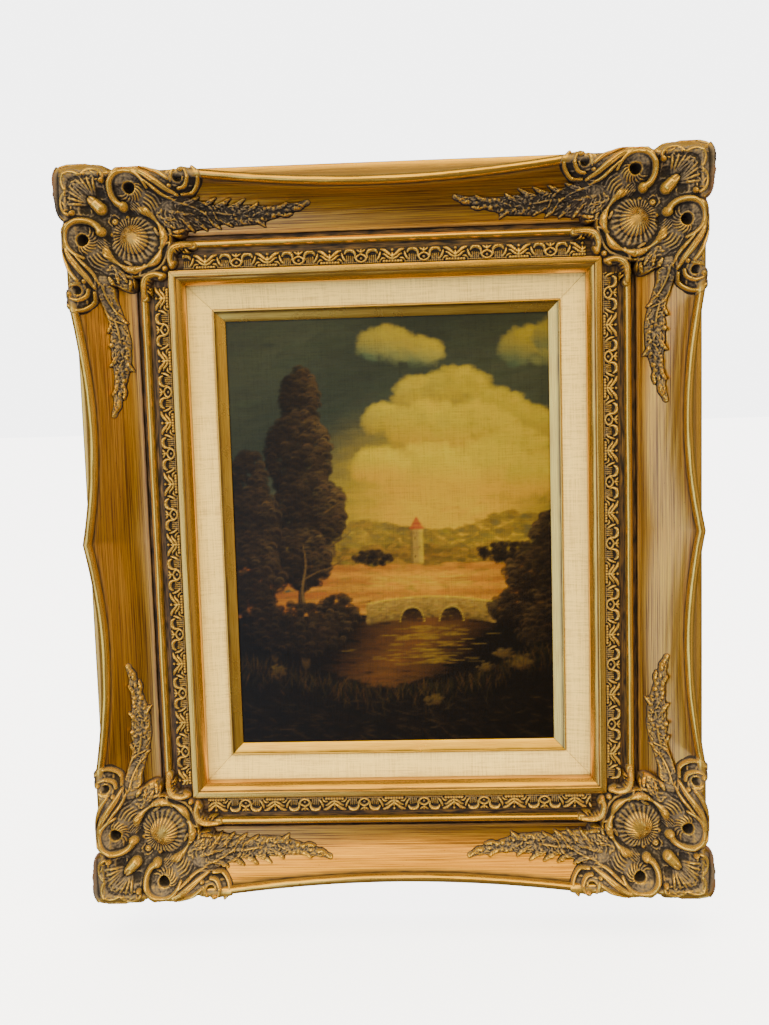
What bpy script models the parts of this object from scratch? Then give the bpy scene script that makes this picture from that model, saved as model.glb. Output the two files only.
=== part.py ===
"""Framed oil painting: a canvas on its stretcher in a gilt swept frame with cast corner ornaments.

The picture hangs upright and faces -Y. The origin lies in the middle of the top rail's flat back, where
it meets the wall. Every ring of members around the picture is described by two distances: out, from the
edge of the visible picture towards the outside of the frame, and rise, from the frame's flat back
towards the viewer.
"""

import math

import bmesh
import bpy
import numpy as np

MM = 0.001

# Clearances
TOUCH_GAP = 0.3 * MM
CANVAS_SIDE_GAP = 1.0 * MM

# Canvas and stretcher
CANVAS_WIDTH = 304.8 * MM
CANVAS_HEIGHT = 406.4 * MM
CANVAS_THICKNESS = 0.8 * MM
CANVAS_RISE = 17.0 * MM
STRETCHER_WIDTH = 38.0 * MM
STRETCHER_BACK_RISE = 1.0 * MM

# Gold slip around the picture
SLIP_OVERLAP = 6.0 * MM
SLIP_FACE = 10.7 * MM
SLIP_SIGHT_RISE = 1.6 * MM
SLIP_RIM_RISE = 6.4 * MM
SLIP_RIM_WIDTH = 1.8 * MM
SLIP_RIM_STEP = 1.2 * MM

# Linen liner
LINER_FACE = 21.2 * MM
LINER_TONGUE = 6.0 * MM
LINER_BACK_RISE = 4.0 * MM
LINER_EDGE_STEP = 2.0 * MM

# Frame rail, from its outer edge inwards
LEDGE_WIDTH = 7.8 * MM
LEDGE_RISE = 17.0 * MM
LEDGE_ROUND = 1.6 * MM
SIDE_HOLLOW = 0.55
LIP_INSET = 10.0 * MM
LIP_WIDTH = 8.0 * MM
LIP_RISE = 60.0 * MM
LIP_BEAD_HEIGHT = 4.6 * MM
LIP_QUIRK = 3.2 * MM
SWEEP_DEPTH = 10.5 * MM
COVE_WIDTH = 44.1 * MM
COVE_FOOT_RISE = 34.0 * MM
COVE_POWER = 1.9
STEP_WIDTH = 5.5 * MM
STEP_DEPTH = 2.5 * MM
BEAD_WIDTH = 6.5 * MM
BEAD_RISE = 46.0 * MM
BEAD_SHOULDER = 41.5 * MM
FLAT_RISE = 40.0 * MM
FLAT_WIDTH = 18.8 * MM
SIGHT_FILLET_WIDTH = 5.5 * MM
SIGHT_FILLET_RISE = 44.0 * MM
SIGHT_BEVEL_WIDTH = 7.3 * MM
SIGHT_BEVEL_DROP = 1.6 * MM
SIGHT_EDGE_RISE = 36.5 * MM
RABBET_WIDTH = 6.5 * MM
RABBET_RISE = 27.6 * MM
LIP_STEPS = 5
BEAD_STEPS = 4
COVE_STEPS = 4
SINGLE_SWEEP_STEPS = 8
PAIRED_SWEEP_STEPS = 12

# Pressed ornament strip
BAND_WIDTH = 12.6 * MM
BAND_SIDE_GAP = 0.4 * MM
BAND_CORNER_GAP = 1.0 * MM
BAND_THICKNESS = 2.6 * MM
BAND_RELIEF = 3.8 * MM
BAND_PITCH = 55.3 * MM
BAND_STEPS_PER_MOTIF = 6
BAND_SHIFT = {"top": -19.0 * MM, "bottom": 23.8 * MM, "left": 24.4 * MM, "right": -11.3 * MM}

# Cast corner ornament, along each rail from the frame's outer corner
CORNER_REACH = 128.0 * MM
CORNER_INNER_SETBACK = 21.0 * MM
CORNER_EDGE = 1.0 * MM
CORNER_DEPTH = 96.0 * MM
KNOT_LENGTH = 24.0 * MM
CORNER_CELL = 1.6 * MM
CORNER_TRIANGLES = 1040
CORNER_SKIN = 2.2 * MM
CORNER_SKIRT = 2.0 * MM
CORNER_SKIRT_STEP = 0.45
CUSHION_INWARD = (0, 5, 10, 18, 25, 33, 45, 56, 65, 71, 78, 86, 99)
CUSHION_OVER_LIP = (-10, -3, 1.8, 1.8, -2, -7, -12, -13.5, -13.5, -12, -12.8, -13.6, -14.4)
SPRAY_REACH = 222.0 * MM
SPRAY_THICKNESS = 1.6 * MM
DRAWN_CORNER = 128
DRAWN_SKIN = 132
DRAWN_GROUND = (100, 124)
DRAWN_SPRAY = 222
CUTTER_OVERRUN = 0.3 * MM
BURIED = 12.0 * MM

SIGHT_X = CANVAS_WIDTH / 2 - SLIP_OVERLAP
SIGHT_Z = CANVAS_HEIGHT / 2 - SLIP_OVERLAP
LINER_OUT = SLIP_FACE + TOUCH_GAP
RAIL_SIGHT_OUT = SLIP_FACE + TOUCH_GAP + LINER_FACE
INNER_MEMBERS = STEP_WIDTH + BEAD_WIDTH + FLAT_WIDTH + SIGHT_FILLET_WIDTH + SIGHT_BEVEL_WIDTH
COVE_FOOT_IN = LIP_INSET + LIP_WIDTH + COVE_WIDTH
RAIL_WIDTH = COVE_FOOT_IN + INNER_MEMBERS
RAIL_OUT = RAIL_SIGHT_OUT + RAIL_WIDTH
RABBET_IN = RAIL_WIDTH - RABBET_WIDTH
HALF_X = SIGHT_X + RAIL_OUT
HALF_Z = SIGHT_Z + RAIL_OUT
CENTRE_Z = RABBET_IN / 2 - HALF_Z
CORNER_INNER_REACH = CORNER_REACH - CORNER_INNER_SETBACK
BAND_OUTER_IN = COVE_FOOT_IN + STEP_WIDTH + BEAD_WIDTH + FLAT_WIDTH - BAND_WIDTH - BAND_SIDE_GAP

SIDES = ("top", "bottom", "left", "right")


def clear_scene():
    for old in list(bpy.data.objects):
        bpy.data.objects.remove(old, do_unlink=True)


def new_collection(name):
    collection = bpy.data.collections.new(name)
    bpy.context.scene.collection.children.link(collection)
    return collection


def material(name, colour, roughness, metallic=0.0):
    made = bpy.data.materials.new(name)
    made.use_nodes = True
    shader = made.node_tree.nodes["Principled BSDF"]
    shader.inputs["Base Color"].default_value = (*colour, 1.0)
    shader.inputs["Roughness"].default_value = roughness
    shader.inputs["Metallic"].default_value = metallic
    made.diffuse_color = (*colour, 1.0)
    return made


def add_object(name, mesh, collection, finish):
    part = bpy.data.objects.new(name, mesh)
    collection.objects.link(part)
    if finish:
        mesh.materials.append(finish)
    return part


def closed_mesh(name, points, faces):
    """A mesh from points and faces, its normals turned outwards."""
    mesh = bpy.data.meshes.new(name)
    mesh.from_pydata([tuple(point) for point in points], [], faces)
    work = bmesh.new()
    work.from_mesh(mesh)
    bmesh.ops.recalc_face_normals(work, faces=work.faces)
    work.to_mesh(mesh)
    work.free()
    mesh.set_sharp_from_angle(angle=math.radians(35))
    return mesh


def place(side, along, out, rise):
    """World point of a place on one side: along it, out from the picture, and up from the back."""
    if side == "top":
        return (along, -rise, CENTRE_Z + SIGHT_Z + out)
    if side == "bottom":
        return (along, -rise, CENTRE_Z - SIGHT_Z - out)
    if side == "left":
        return (-SIGHT_X - out, -rise, CENTRE_Z + along)
    return (SIGHT_X + out, -rise, CENTRE_Z + along)


def half_sight(side):
    return SIGHT_X if side in ("top", "bottom") else SIGHT_Z


def member(name, side, section, stations=(), end_gap=TOUCH_GAP / 2, square_end=None):
    """A bar along one side, lofted through section(position), mitred or cut square at square_end."""
    half = half_sight(side)
    end_shift = end_gap * math.sqrt(2)
    points = []
    far = half + max(out for out, rise in section(half))
    first = section(-far)
    last = section(far)
    if square_end is None:
        rows = [[(-(half + out) + end_shift, out, rise) for out, rise in first]]
        rows += [[(at, out, rise) for out, rise in section(at)] for at in stations]
        rows += [[(half + out - end_shift, out, rise) for out, rise in last]]
    else:
        ends = [-square_end, *stations, square_end]
        rows = [[(at, out, rise) for out, rise in section(at)] for at in ends]
    for row in rows:
        points += [place(side, *spot) for spot in row]
    count = len(first)
    faces = [list(range(count)), [len(points) - count + i for i in range(count)]]
    for row in range(len(rows) - 1):
        for i in range(count):
            j = (i + 1) % count
            faces.append([row * count + i, row * count + j, (row + 1) * count + j, (row + 1) * count + i])
    return closed_mesh(name, points, faces)


def half_round(start, width, shoulder, top, steps):
    """Points over a half-round bead, from its outer shoulder to its inner one."""
    angles = [math.pi * i / steps for i in range(steps + 1)]
    return [
        (start + width / 2 * (1 - math.cos(angle)), shoulder + (top - shoulder) * math.sin(angle))
        for angle in angles
    ]


def cove_rise(inward, inset):
    """Rise of the hollow panel at a distance in from the frame's outer edge."""
    start = inset + LIP_WIDTH
    top = LIP_RISE - LIP_BEAD_HEIGHT - LIP_QUIRK
    share = np.clip((COVE_FOOT_IN - inward) / (COVE_FOOT_IN - start), 0.0, 1.0)
    return COVE_FOOT_RISE + (top - COVE_FOOT_RISE) * share**COVE_POWER


def lip_inset(side, along):
    """How far the lip stands in: one sweep on a short rail, two that meet at a point on a long one."""
    half = half_sight(side) + RAIL_OUT - CORNER_REACH
    if side in ("top", "bottom"):
        share = np.clip(np.abs(along) / half, 0.0, 1.0)
    else:
        share = np.clip(np.abs(np.abs(along) / half * 2 - 1), 0.0, 1.0)
    return LIP_INSET + SWEEP_DEPTH * (1 - share**2)


def rail_section(side, along):
    """The rail's cross-section as (inward, rise) points, from the outer back corner over the front."""
    inset = float(lip_inset(side, along))
    shoulder = LIP_RISE - LIP_BEAD_HEIGHT
    points = [(0.0, 0.0), (0.0, LEDGE_RISE - LEDGE_ROUND)]
    points += [(LEDGE_ROUND, LEDGE_RISE), (LEDGE_WIDTH, LEDGE_RISE)]
    hollow = LEDGE_WIDTH + (inset - LEDGE_WIDTH) * SIDE_HOLLOW**2
    points.append((hollow, LEDGE_RISE + (shoulder - LEDGE_RISE) * SIDE_HOLLOW))
    points += half_round(inset, LIP_WIDTH, shoulder, LIP_RISE, LIP_STEPS)
    cove_start = inset + LIP_WIDTH
    for i in range(COVE_STEPS + 1):
        inward = cove_start + (COVE_FOOT_IN - cove_start) * i / COVE_STEPS
        points.append((inward, float(cove_rise(inward, inset))))
    step_floor = COVE_FOOT_RISE - STEP_DEPTH
    bead_start = COVE_FOOT_IN + STEP_WIDTH
    points += [(COVE_FOOT_IN + STEP_DEPTH / 4, step_floor), (bead_start, step_floor)]
    points += half_round(bead_start, BEAD_WIDTH, BEAD_SHOULDER, BEAD_RISE, BEAD_STEPS)
    flat_start = bead_start + BEAD_WIDTH
    flat_end = flat_start + FLAT_WIDTH
    fillet_end = flat_end + SIGHT_FILLET_WIDTH
    points += [
        (flat_start, FLAT_RISE),
        (flat_end, FLAT_RISE),
        (flat_end, SIGHT_FILLET_RISE),
        (fillet_end, SIGHT_FILLET_RISE),
        (fillet_end + SIGHT_BEVEL_DROP / 2, SIGHT_FILLET_RISE - SIGHT_BEVEL_DROP),
        (RAIL_WIDTH, SIGHT_EDGE_RISE),
        (RAIL_WIDTH, RABBET_RISE),
        (RABBET_IN, RABBET_RISE),
        (RABBET_IN, 0.0),
    ]
    return points


def grown(points, distance):
    """A closed outline moved out along its normals."""
    ring = np.array(points)
    edge = np.roll(ring, -1, axis=0) - ring
    edge /= np.linalg.norm(edge, axis=1)[:, None]
    area = np.sum(ring[:, 0] * np.roll(ring[:, 1], -1) - np.roll(ring[:, 0], -1) * ring[:, 1])
    normal = np.stack([edge[:, 1], -edge[:, 0]], axis=1) * math.copysign(1, area)
    before = np.roll(normal, 1, axis=0)
    middle = before + normal
    middle /= np.sum(middle * normal, axis=1)[:, None]
    return [tuple(point) for point in ring + middle * distance]


def rail_mesh(name, side, growth=0.0, end_gap=TOUCH_GAP / 2):
    def section(along):
        points = rail_section(side, along)
        if growth:
            points = grown(points, growth)
        return [(RAIL_OUT - inward, rise) for inward, rise in points]

    swept = half_sight(side) + RAIL_OUT - CORNER_REACH
    steps = SINGLE_SWEEP_STEPS if side in ("top", "bottom") else PAIRED_SWEEP_STEPS
    stations = [swept * (2 * i / steps - 1) for i in range(steps + 1)]
    return member(name, side, section, stations, end_gap)


def build_rails(collection, finish):
    for side in SIDES:
        name = f"rail_{side}"
        add_object(name, rail_mesh(name, side), collection, finish)


def band_section(side, along):
    """Cross-section of the pressed strip: eyes, and leaf hooks between them, raised along its length."""
    phase = 2 * math.pi * (along - BAND_SHIFT[side]) / BAND_PITCH
    eye = max(0.0, math.cos(phase)) ** 4
    leaf = abs(math.sin(phase)) ** 1.5
    palmette = max(0.0, -math.cos(phase)) ** 6
    edge = FLAT_RISE + TOUCH_GAP + BAND_THICKNESS
    heights = (
        (0.0, 0.25 + 0.2 * leaf),
        (0.22, 0.45 + 0.5 * leaf + 0.3 * palmette),
        (0.6, 0.35 + 0.6 * eye + 0.25 * palmette),
        (1.0, 0.15 + 0.25 * leaf),
    )
    top = [(BAND_OUTER_IN + BAND_WIDTH * share, edge + BAND_RELIEF * height) for share, height in heights]
    base = FLAT_RISE + TOUCH_GAP
    points = [(BAND_OUTER_IN, base), *top, (BAND_OUTER_IN + BAND_WIDTH, base)]
    return [(RAIL_OUT - inward, rise) for inward, rise in points]


def build_bands(collection, finish):
    for side in SIDES:
        name = f"ornament_band_{side}"
        end = half_sight(side) + RAIL_OUT - CORNER_INNER_REACH - TOUCH_GAP
        step = BAND_PITCH / BAND_STEPS_PER_MOTIF
        count = int(end / step)
        stations = [step * i for i in range(-count, count + 1) if abs(abs(step * i) - end) > TOUCH_GAP]
        mesh = member(name, side, lambda at, side=side: band_section(side, at), stations, square_end=end)
        add_object(name, mesh, collection, finish)


def build_liner(collection, finish):
    edge_rise = CANVAS_RISE + SLIP_RIM_RISE - LINER_EDGE_STEP
    back = LINER_BACK_RISE
    top = RABBET_RISE - TOUCH_GAP
    outer = RAIL_SIGHT_OUT + LINER_TONGUE
    section = [(LINER_OUT, back), (LINER_OUT, edge_rise), (RAIL_SIGHT_OUT, top), (outer, top), (outer, back)]
    for side in SIDES:
        name = f"linen_liner_{side}"
        add_object(name, member(name, side, lambda at: section), collection, finish)


def build_slip(collection, finish):
    rim = CANVAS_RISE + SLIP_RIM_RISE
    sight = CANVAS_RISE + SLIP_SIGHT_RISE
    over_canvas = CANVAS_RISE + TOUCH_GAP
    leg_out = SLIP_OVERLAP + CANVAS_SIDE_GAP
    rim_out = SLIP_FACE - SLIP_RIM_WIDTH
    section = [
        (0.0, over_canvas),
        (0.0, sight),
        (rim_out, rim - SLIP_RIM_STEP),
        (rim_out, rim - SLIP_RIM_STEP / 4),
        (rim_out + SLIP_RIM_WIDTH / 3, rim),
        (SLIP_FACE - SLIP_RIM_WIDTH / 4, rim),
        (SLIP_FACE, rim - SLIP_RIM_STEP / 2),
        (SLIP_FACE, LINER_BACK_RISE),
        (leg_out, LINER_BACK_RISE),
        (leg_out, over_canvas),
    ]
    for side in SIDES:
        name = f"gold_slip_{side}"
        add_object(name, member(name, side, lambda at: section), collection, finish)


def build_canvas(collection, finish):
    """One sheet whose edges turn back over the stretcher's sides."""
    bpy.ops.mesh.primitive_cube_add(size=1.0)
    sheet = bpy.context.active_object
    mesh = sheet.data
    depth = CANVAS_RISE - STRETCHER_BACK_RISE
    size = np.array([CANVAS_WIDTH, depth, CANVAS_HEIGHT])
    centre = np.array([0.0, -(CANVAS_RISE + STRETCHER_BACK_RISE) / 2, CENTRE_Z])
    for vertex in mesh.vertices:
        vertex.co = centre + np.array(vertex.co) * size
    work = bmesh.new()
    work.from_mesh(mesh)
    back = [face for face in work.faces if face.normal.y > 0.9]
    bmesh.ops.delete(work, geom=back, context="FACES_ONLY")
    work.to_mesh(mesh)
    work.free()
    wall = sheet.modifiers.new("Cloth", "SOLIDIFY")
    wall.thickness = CANVAS_THICKNESS
    wall.offset = -1.0
    wall.use_even_offset = True
    sheet.name = "canvas"
    mesh.name = "canvas"
    mesh.materials.append(finish)
    for owner in list(sheet.users_collection):
        owner.objects.unlink(sheet)
    collection.objects.link(sheet)


def build_stretcher(collection, finish):
    outer = SLIP_OVERLAP - CANVAS_THICKNESS - TOUCH_GAP
    inner = outer - STRETCHER_WIDTH
    front = CANVAS_RISE - CANVAS_THICKNESS - TOUCH_GAP
    section = [(inner, STRETCHER_BACK_RISE), (inner, front), (outer, front), (outer, STRETCHER_BACK_RISE)]
    for side in SIDES:
        name = f"stretcher_bar_{side}"
        add_object(name, member(name, side, lambda at: section), collection, finish)


def curve_points(points, count):
    """Points along a smooth curve through the given ones."""
    knots = np.array([points[0], *points, points[-1]], dtype=float)
    places = np.linspace(0, len(points) - 1, count)
    found = []
    for place_on in places:
        i = min(int(place_on), len(points) - 2)
        t = place_on - i
        before, start, end, after = knots[i : i + 4]
        found.append(
            0.5
            * (
                2 * start
                + (end - before) * t
                + (2 * before - 5 * start + 4 * end - after) * t**2
                + (3 * start - before - 3 * end + after) * t**3
            )
        )
    return np.array(found)


def ridge(across, down, points, widths, heights, count=22):
    """A round-backed ridge along a curve, its half width and height changing from one end to the other."""
    found = np.zeros_like(across)
    path = curve_points(points, count)
    for i, (u, v) in enumerate(path):
        share = i / (count - 1)
        half = np.interp(share, np.linspace(0, 1, len(widths)), widths)
        height = np.interp(share, np.linspace(0, 1, len(heights)), heights)
        round_back = 1 - ((across - u) ** 2 + (down - v) ** 2) / half**2
        found = np.maximum(found, height * np.sqrt(np.clip(round_back, 0, None)))
    return found


def footprint(across, down, points, widths, count=16):
    """How far each place lies inside a swept disc, negative outside it."""
    found = np.full_like(across, -1000.0)
    path = curve_points(points, count)
    for i, (u, v) in enumerate(path):
        half = np.interp(i / (count - 1), np.linspace(0, 1, len(widths)), widths)
        found = np.maximum(found, half - np.hypot(across - u, down - v))
    return found


def both_ways(make, across, down):
    """The same form and its mirror image about the mitre."""
    return np.maximum(make(across, down), make(down, across))


def drawn(distance):
    """A distance from the frame's outer corner, in mm, as it is in the drawing of the carving."""
    return np.interp(distance * MM, (0.0, CORNER_REACH, SPRAY_REACH), (0, DRAWN_CORNER, DRAWN_SPRAY))


def corner_outline(across, down):
    """How far a place of the drawing lies inside the ornament, in mm."""

    def half(u, v):
        lobe = footprint(u, v, [(15, 15), (27, 16.5), (38, 14)], (13.5, 14.5, 11.5))
        neck = footprint(u, v, [(43, 15), (52, 15)], (8.5, 8.5))
        scroll = footprint(u, v, [(58, 24), (75, 23), (98, 28)], (18.5, 17.5, 14))
        knot = footprint(u, v, [(106, 20), (120, 17)], (11, 10.5))
        leaves = footprint(u, v, [(86, 42), (97, 52), (104, 58)], (20, 12, 7.5))
        hook = footprint(u, v, [(96, 86), (96.5, 78), (104, 72.5), (117, 72.5)], (6.5, 5.5, 5, 4))
        spray = footprint(
            u,
            v,
            [(108, 40), (128, 43), (145, 45), (160, 45), (178, 46), (194, 45), (210, 41), (219, 38)],
            (13, 6, 10, 10.5, 12, 8, 6, 3),
            40,
        )
        return np.maximum.reduce([lobe, neck, scroll, knot, leaves, hook, spray])

    heart = footprint(across, down, [(45, 45), (66, 66), (84, 84)], (30, 35, 13))
    return np.maximum(heart, both_ways(half, across, down))


def corner_relief(across, down):
    """Height of the carving in mm above the ornament's own ground."""

    def half(u, v):
        rim = ridge(u, v, [(7.5, 7.5), (17, 4.5), (28, 4), (38, 5), (46, 9)], (3.6, 3.2, 3.6), (5, 5, 6))
        inner_rim = ridge(u, v, [(12, 12), (22, 10.5), (31, 13), (39, 11), (45, 14.5)], (2.4, 2.4), (4.5, 5))
        scroll = ridge(
            u,
            v,
            [(57, 40), (50, 36), (47.5, 28), (50, 19), (57, 13), (67, 11), (80, 12.5), (92, 17), (103, 24)],
            (4.5, 4, 4.5, 5.5, 7, 7.5, 6),
            (8, 8, 8, 8, 7, 6, 4),
            34,
        )
        ball = ridge(u, v, [(56, 39), (57.5, 39.5)], (5.4, 5.4), (9, 9), 2)
        leaf = ridge(u, v, [(82, 20), (97, 28), (113, 35)], (5, 5, 3), (7, 7, 4))
        feather = ridge(u, v, [(74, 24), (82, 33), (90, 44), (100, 54)], (5, 7, 7, 5), (4, 5.5, 5.5, 4))
        inner_feather = ridge(u, v, [(70, 34), (76, 42), (84, 50)], (4, 5, 4), (3, 4.5, 4))
        knot_path = [(104, 24), (113, 27), (122, 25), (128, 18), (125, 10.5), (118, 11)]
        knot = ridge(u, v, knot_path, (3, 3.6, 3.4), (5, 6.5, 7), 28)
        knot_ball = ridge(u, v, [(119, 15), (120, 16)], (3.4, 3.4), (7, 7), 2)
        hook_path = [(97, 89), (95, 81), (98, 75), (105, 72), (117, 72.5)]
        hook = ridge(u, v, hook_path, (3.6, 4, 4.2, 3.6, 2.6), (5, 6, 6, 5, 3))
        collar = ridge(u, v, [(60, 46), (59, 53), (56, 56)], (2.4, 3.4, 3.8), (4, 6, 6))
        stem = ridge(u, v, [(106, 34), (118, 38), (130, 42), (142, 45)], (3, 2, 2, 2.4), (4, 3.6, 3.4, 3.6))
        low_leaf = ridge(u, v, [(132, 43), (141, 48), (148, 54)], (2.6, 3.2, 2), (3, 3.6, 3))
        high_leaf = ridge(u, v, [(132, 41), (142, 36.5), (152, 37)], (2.2, 3, 2), (3, 3.6, 3))
        first_roses = ridge(u, v, [(153, 42), (159, 48), (164, 42)], (5.2, 5.6, 5.2), (4.6, 5, 4.6), 3)
        middle_leaf = ridge(u, v, [(166, 52), (178, 55), (189, 57)], (2.4, 3.2, 1.6), (3, 3.6, 2.6))
        upper_leaf = ridge(u, v, [(168, 42), (176, 37), (182, 38)], (3, 3.4, 2), (4, 4, 3))
        second_roses = ridge(u, v, [(176, 47), (184, 44), (193, 45)], (5, 5, 4.4), (4.6, 4.6, 4), 3)
        tip = ridge(u, v, [(198, 45), (208, 42), (220, 37.5)], (3.4, 4, 1.8), (4, 4, 2.4))
        return np.maximum.reduce(
            [
                rim, inner_rim, scroll, ball, leaf, feather, inner_feather, knot, knot_ball, hook, collar,
                stem, low_leaf, high_leaf, first_roses, middle_leaf, upper_leaf, second_roses, tip,
            ]
        )

    bulb = ridge(across, down, [(30, 30), (37, 37)], (4.5, 6), (5, 9), 6)
    button = ridge(across, down, [(49.5, 49.5), (50.5, 50.5)], (3.4, 3.4), (5, 5), 2)
    bead = ridge(across, down, [(91, 91), (91.5, 91.5)], (3, 3), (5, 5), 2)
    return np.maximum.reduce([both_ways(half, across, down), bulb, button, bead, shell(across, down)])


def shell(across, down):
    """Fluted dome in a moat, and the lobed ring that bounds it on the inner side."""
    u = across - 65.0
    v = down - 65.0
    radius = np.hypot(u, v)
    turn = np.arctan2(v, u) - math.pi / 4
    flutes = np.cos(turn * 11) * np.clip((radius - 4) / 8, 0, 1)
    dome = (6.5 + 0.8 * flutes) * np.sqrt(np.clip(1 - (radius / 19.5) ** 2, 0, None))
    facing = np.abs((turn + math.pi) % (2 * math.pi) - math.pi)
    on_ring = np.clip((2.2 - facing) / 0.3, 0, 1)
    lobes = 1.2 * np.cos(turn * 8)
    ring = (6.0 + lobes) * np.sqrt(np.clip(1 - ((radius - 24.5 - lobes / 2) / 3.6) ** 2, 0, None)) * on_ring
    outer_ring = 3.6 * np.sqrt(np.clip(1 - ((radius - 32) / 2.6) ** 2, 0, None)) * on_ring
    return np.maximum.reduce([dome, ring, outer_ring])


def corner_ground(across, down):
    """The ornament's ground: a cushion over the hollow, thinning to a skin under the sprays."""
    inward = np.minimum(across, down)
    along = np.maximum(across, down)
    cushion = LIP_RISE / MM + np.interp(inward, CUSHION_INWARD, CUSHION_OVER_LIP)
    along_top = HALF_X - along * MM
    along_side = HALF_Z - along * MM
    inset = np.where(across > down, lip_inset("top", along_top), lip_inset("left", along_side))
    skin = (cove_rise(inward * MM, inset) + SPRAY_THICKNESS) / MM
    share = np.interp(drawn(along), DRAWN_GROUND, (0.0, 1.0))
    return cushion * (1 - share) + np.where(inward < COVE_FOOT_IN / MM, skin, cushion) * share


def corner_hollows(across, down):
    """The two deep eyes of the scrolls and the hollows around the bulb and the shell."""
    depth = np.zeros_like(across)
    hollows = ((65, 25, 8, 6, 16), (66, 42, 6, 5, 3), (26, 40, 6, 8, 3), (106, 60, 4, 4, 4))
    for u, v, wide, high, deep in hollows:
        for a, b in ((across, down), (down, across)):
            inside = 1 - ((a - u) / wide) ** 2 - ((b - v) / high) ** 2
            depth = np.maximum(depth, deep * np.sqrt(np.clip(inside, 0, None)))
    return depth


def least_rise(across, down):
    """The rails' own face with a skin of casting over it, which no hollow breaks through."""
    front = [point for point in rail_section("top", HALF_X) if point[1] > 0][:-2]
    inward = np.minimum(across, down) * MM
    return (np.interp(inward, *zip(*front)) + TOUCH_GAP + CORNER_SKIN) / MM


def corner_rise(across, down):
    """Rise of the ornament's face above the frame's back, sunk below the rails outside its outline."""
    place_drawn = drawn(across), drawn(down)
    inside = corner_outline(*place_drawn)
    skirt = np.clip(inside * MM / CORNER_SKIRT, 0.0, 1.0) ** 0.6
    height = CORNER_SKIRT_STEP + (1 - CORNER_SKIRT_STEP) * skirt
    carved = corner_ground(across, down) - corner_hollows(*place_drawn) + corner_relief(*place_drawn)
    skinned = np.maximum(carved, least_rise(across, down))
    carved = np.where(np.maximum(*place_drawn) < DRAWN_SKIN, skinned, carved)
    floor = BURIED / MM
    return np.where(inside > 0, floor + (carved - floor) * height, floor)


def relief_plate():
    """The ornament's face as a grid over its L-shaped field, extruded down into the rails."""
    reach = SPRAY_REACH + 2 * CORNER_CELL
    count = int((reach - CORNER_EDGE) / CORNER_CELL)
    work = bmesh.new()
    bmesh.ops.create_grid(work, x_segments=count, y_segments=count, size=0.5)
    places = np.array([vertex.co for vertex in work.verts])[:, :2] + 0.5
    places = (CORNER_EDGE + places * count * CORNER_CELL) / MM
    rises = corner_rise(places[:, 0], places[:, 1]) * MM
    for vertex, (u, v), rise in zip(work.verts, places, rises):
        vertex.co = (-HALF_X + u * MM, -rise, CENTRE_Z + HALF_Z - v * MM)
    outside = []
    for face in work.faces:
        spots = [(vertex.co.x + HALF_X, CENTRE_Z + HALF_Z - vertex.co.z) for vertex in face.verts]
        inward = [min(spot) for spot in spots]
        furthest = max(max(spot) for spot in spots)
        buried = all(-vertex.co.y <= BURIED * 1.0001 for vertex in face.verts)
        beside_band = max(inward) > BAND_OUTER_IN - BAND_CORNER_GAP and furthest > CORNER_INNER_REACH
        off_lip = min(inward) < LEDGE_WIDTH and furthest > CORNER_REACH - KNOT_LENGTH
        if buried or beside_band or off_lip or max(inward) > CORNER_DEPTH:
            outside.append(face)
    bmesh.ops.delete(work, geom=outside, context="FACES")
    grown_down = bmesh.ops.extrude_face_region(work, geom=list(work.faces))
    for vertex in grown_down["geom"]:
        if isinstance(vertex, bmesh.types.BMVert):
            vertex.co.y = -BURIED / 2
    bmesh.ops.recalc_face_normals(work, faces=work.faces)
    mesh = bpy.data.meshes.new("relief_plate")
    work.to_mesh(mesh)
    work.free()
    return mesh


def build_corners(collection, cutters, finish):
    """One ornament cut to sit on its two rails, and its mirror images in the other corners."""
    first = add_object("corner_ornament_top_left", relief_plate(), collection, finish)
    fewer = first.modifiers.new("Facets", "DECIMATE")
    fewer.ratio = CORNER_TRIANGLES / sum(len(face.vertices) - 2 for face in first.data.polygons)
    for side in ("top", "left"):
        mesh = rail_mesh(f"seat_{side}", side, TOUCH_GAP, -CUTTER_OVERRUN)
        seat = add_object(f"seat_{side}", mesh, cutters, None)
        seat.hide_render = True
        seat.display_type = "WIRE"
        cut = first.modifiers.new(f"Seat on {side} rail", "BOOLEAN")
        cut.operation = "DIFFERENCE"
        cut.object = seat
    first.modifiers.new("Triangles", "TRIANGULATE")
    bpy.context.view_layer.update()
    graph = bpy.context.evaluated_depsgraph_get()
    shaped = bpy.data.meshes.new_from_object(first.evaluated_get(graph))
    for name, mirror_x, mirror_z in (
        ("corner_ornament_top_right", True, False),
        ("corner_ornament_bottom_left", False, True),
        ("corner_ornament_bottom_right", True, True),
    ):
        mesh = shaped.copy()
        for vertex in mesh.vertices:
            if mirror_x:
                vertex.co.x = -vertex.co.x
            if mirror_z:
                vertex.co.z = 2 * CENTRE_Z - vertex.co.z
        if mirror_x != mirror_z:
            mesh.flip_normals()
        part = bpy.data.objects.new(name, mesh)
        collection.objects.link(part)


def main():
    clear_scene()
    parts = new_collection("framed_oil_painting")
    cutters = new_collection("cutters")
    gilt = material("gilt_wood", (0.52, 0.33, 0.09), 0.35, 0.85)
    cast = material("patinated_gilt_cast", (0.42, 0.30, 0.14), 0.5, 0.7)
    linen = material("linen", (0.72, 0.62, 0.47), 0.9)
    slip = material("bright_gilt", (0.68, 0.46, 0.12), 0.3, 0.9)
    paint = material("oil_painted_canvas", (0.16, 0.12, 0.06), 0.35)
    wood = material("bare_pine", (0.62, 0.44, 0.25), 0.7)
    build_rails(parts, gilt)
    build_bands(parts, cast)
    build_corners(parts, cutters, cast)
    build_liner(parts, linen)
    build_slip(parts, slip)
    build_canvas(parts, paint)
    build_stretcher(parts, wood)


main()
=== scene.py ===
import math

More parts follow.
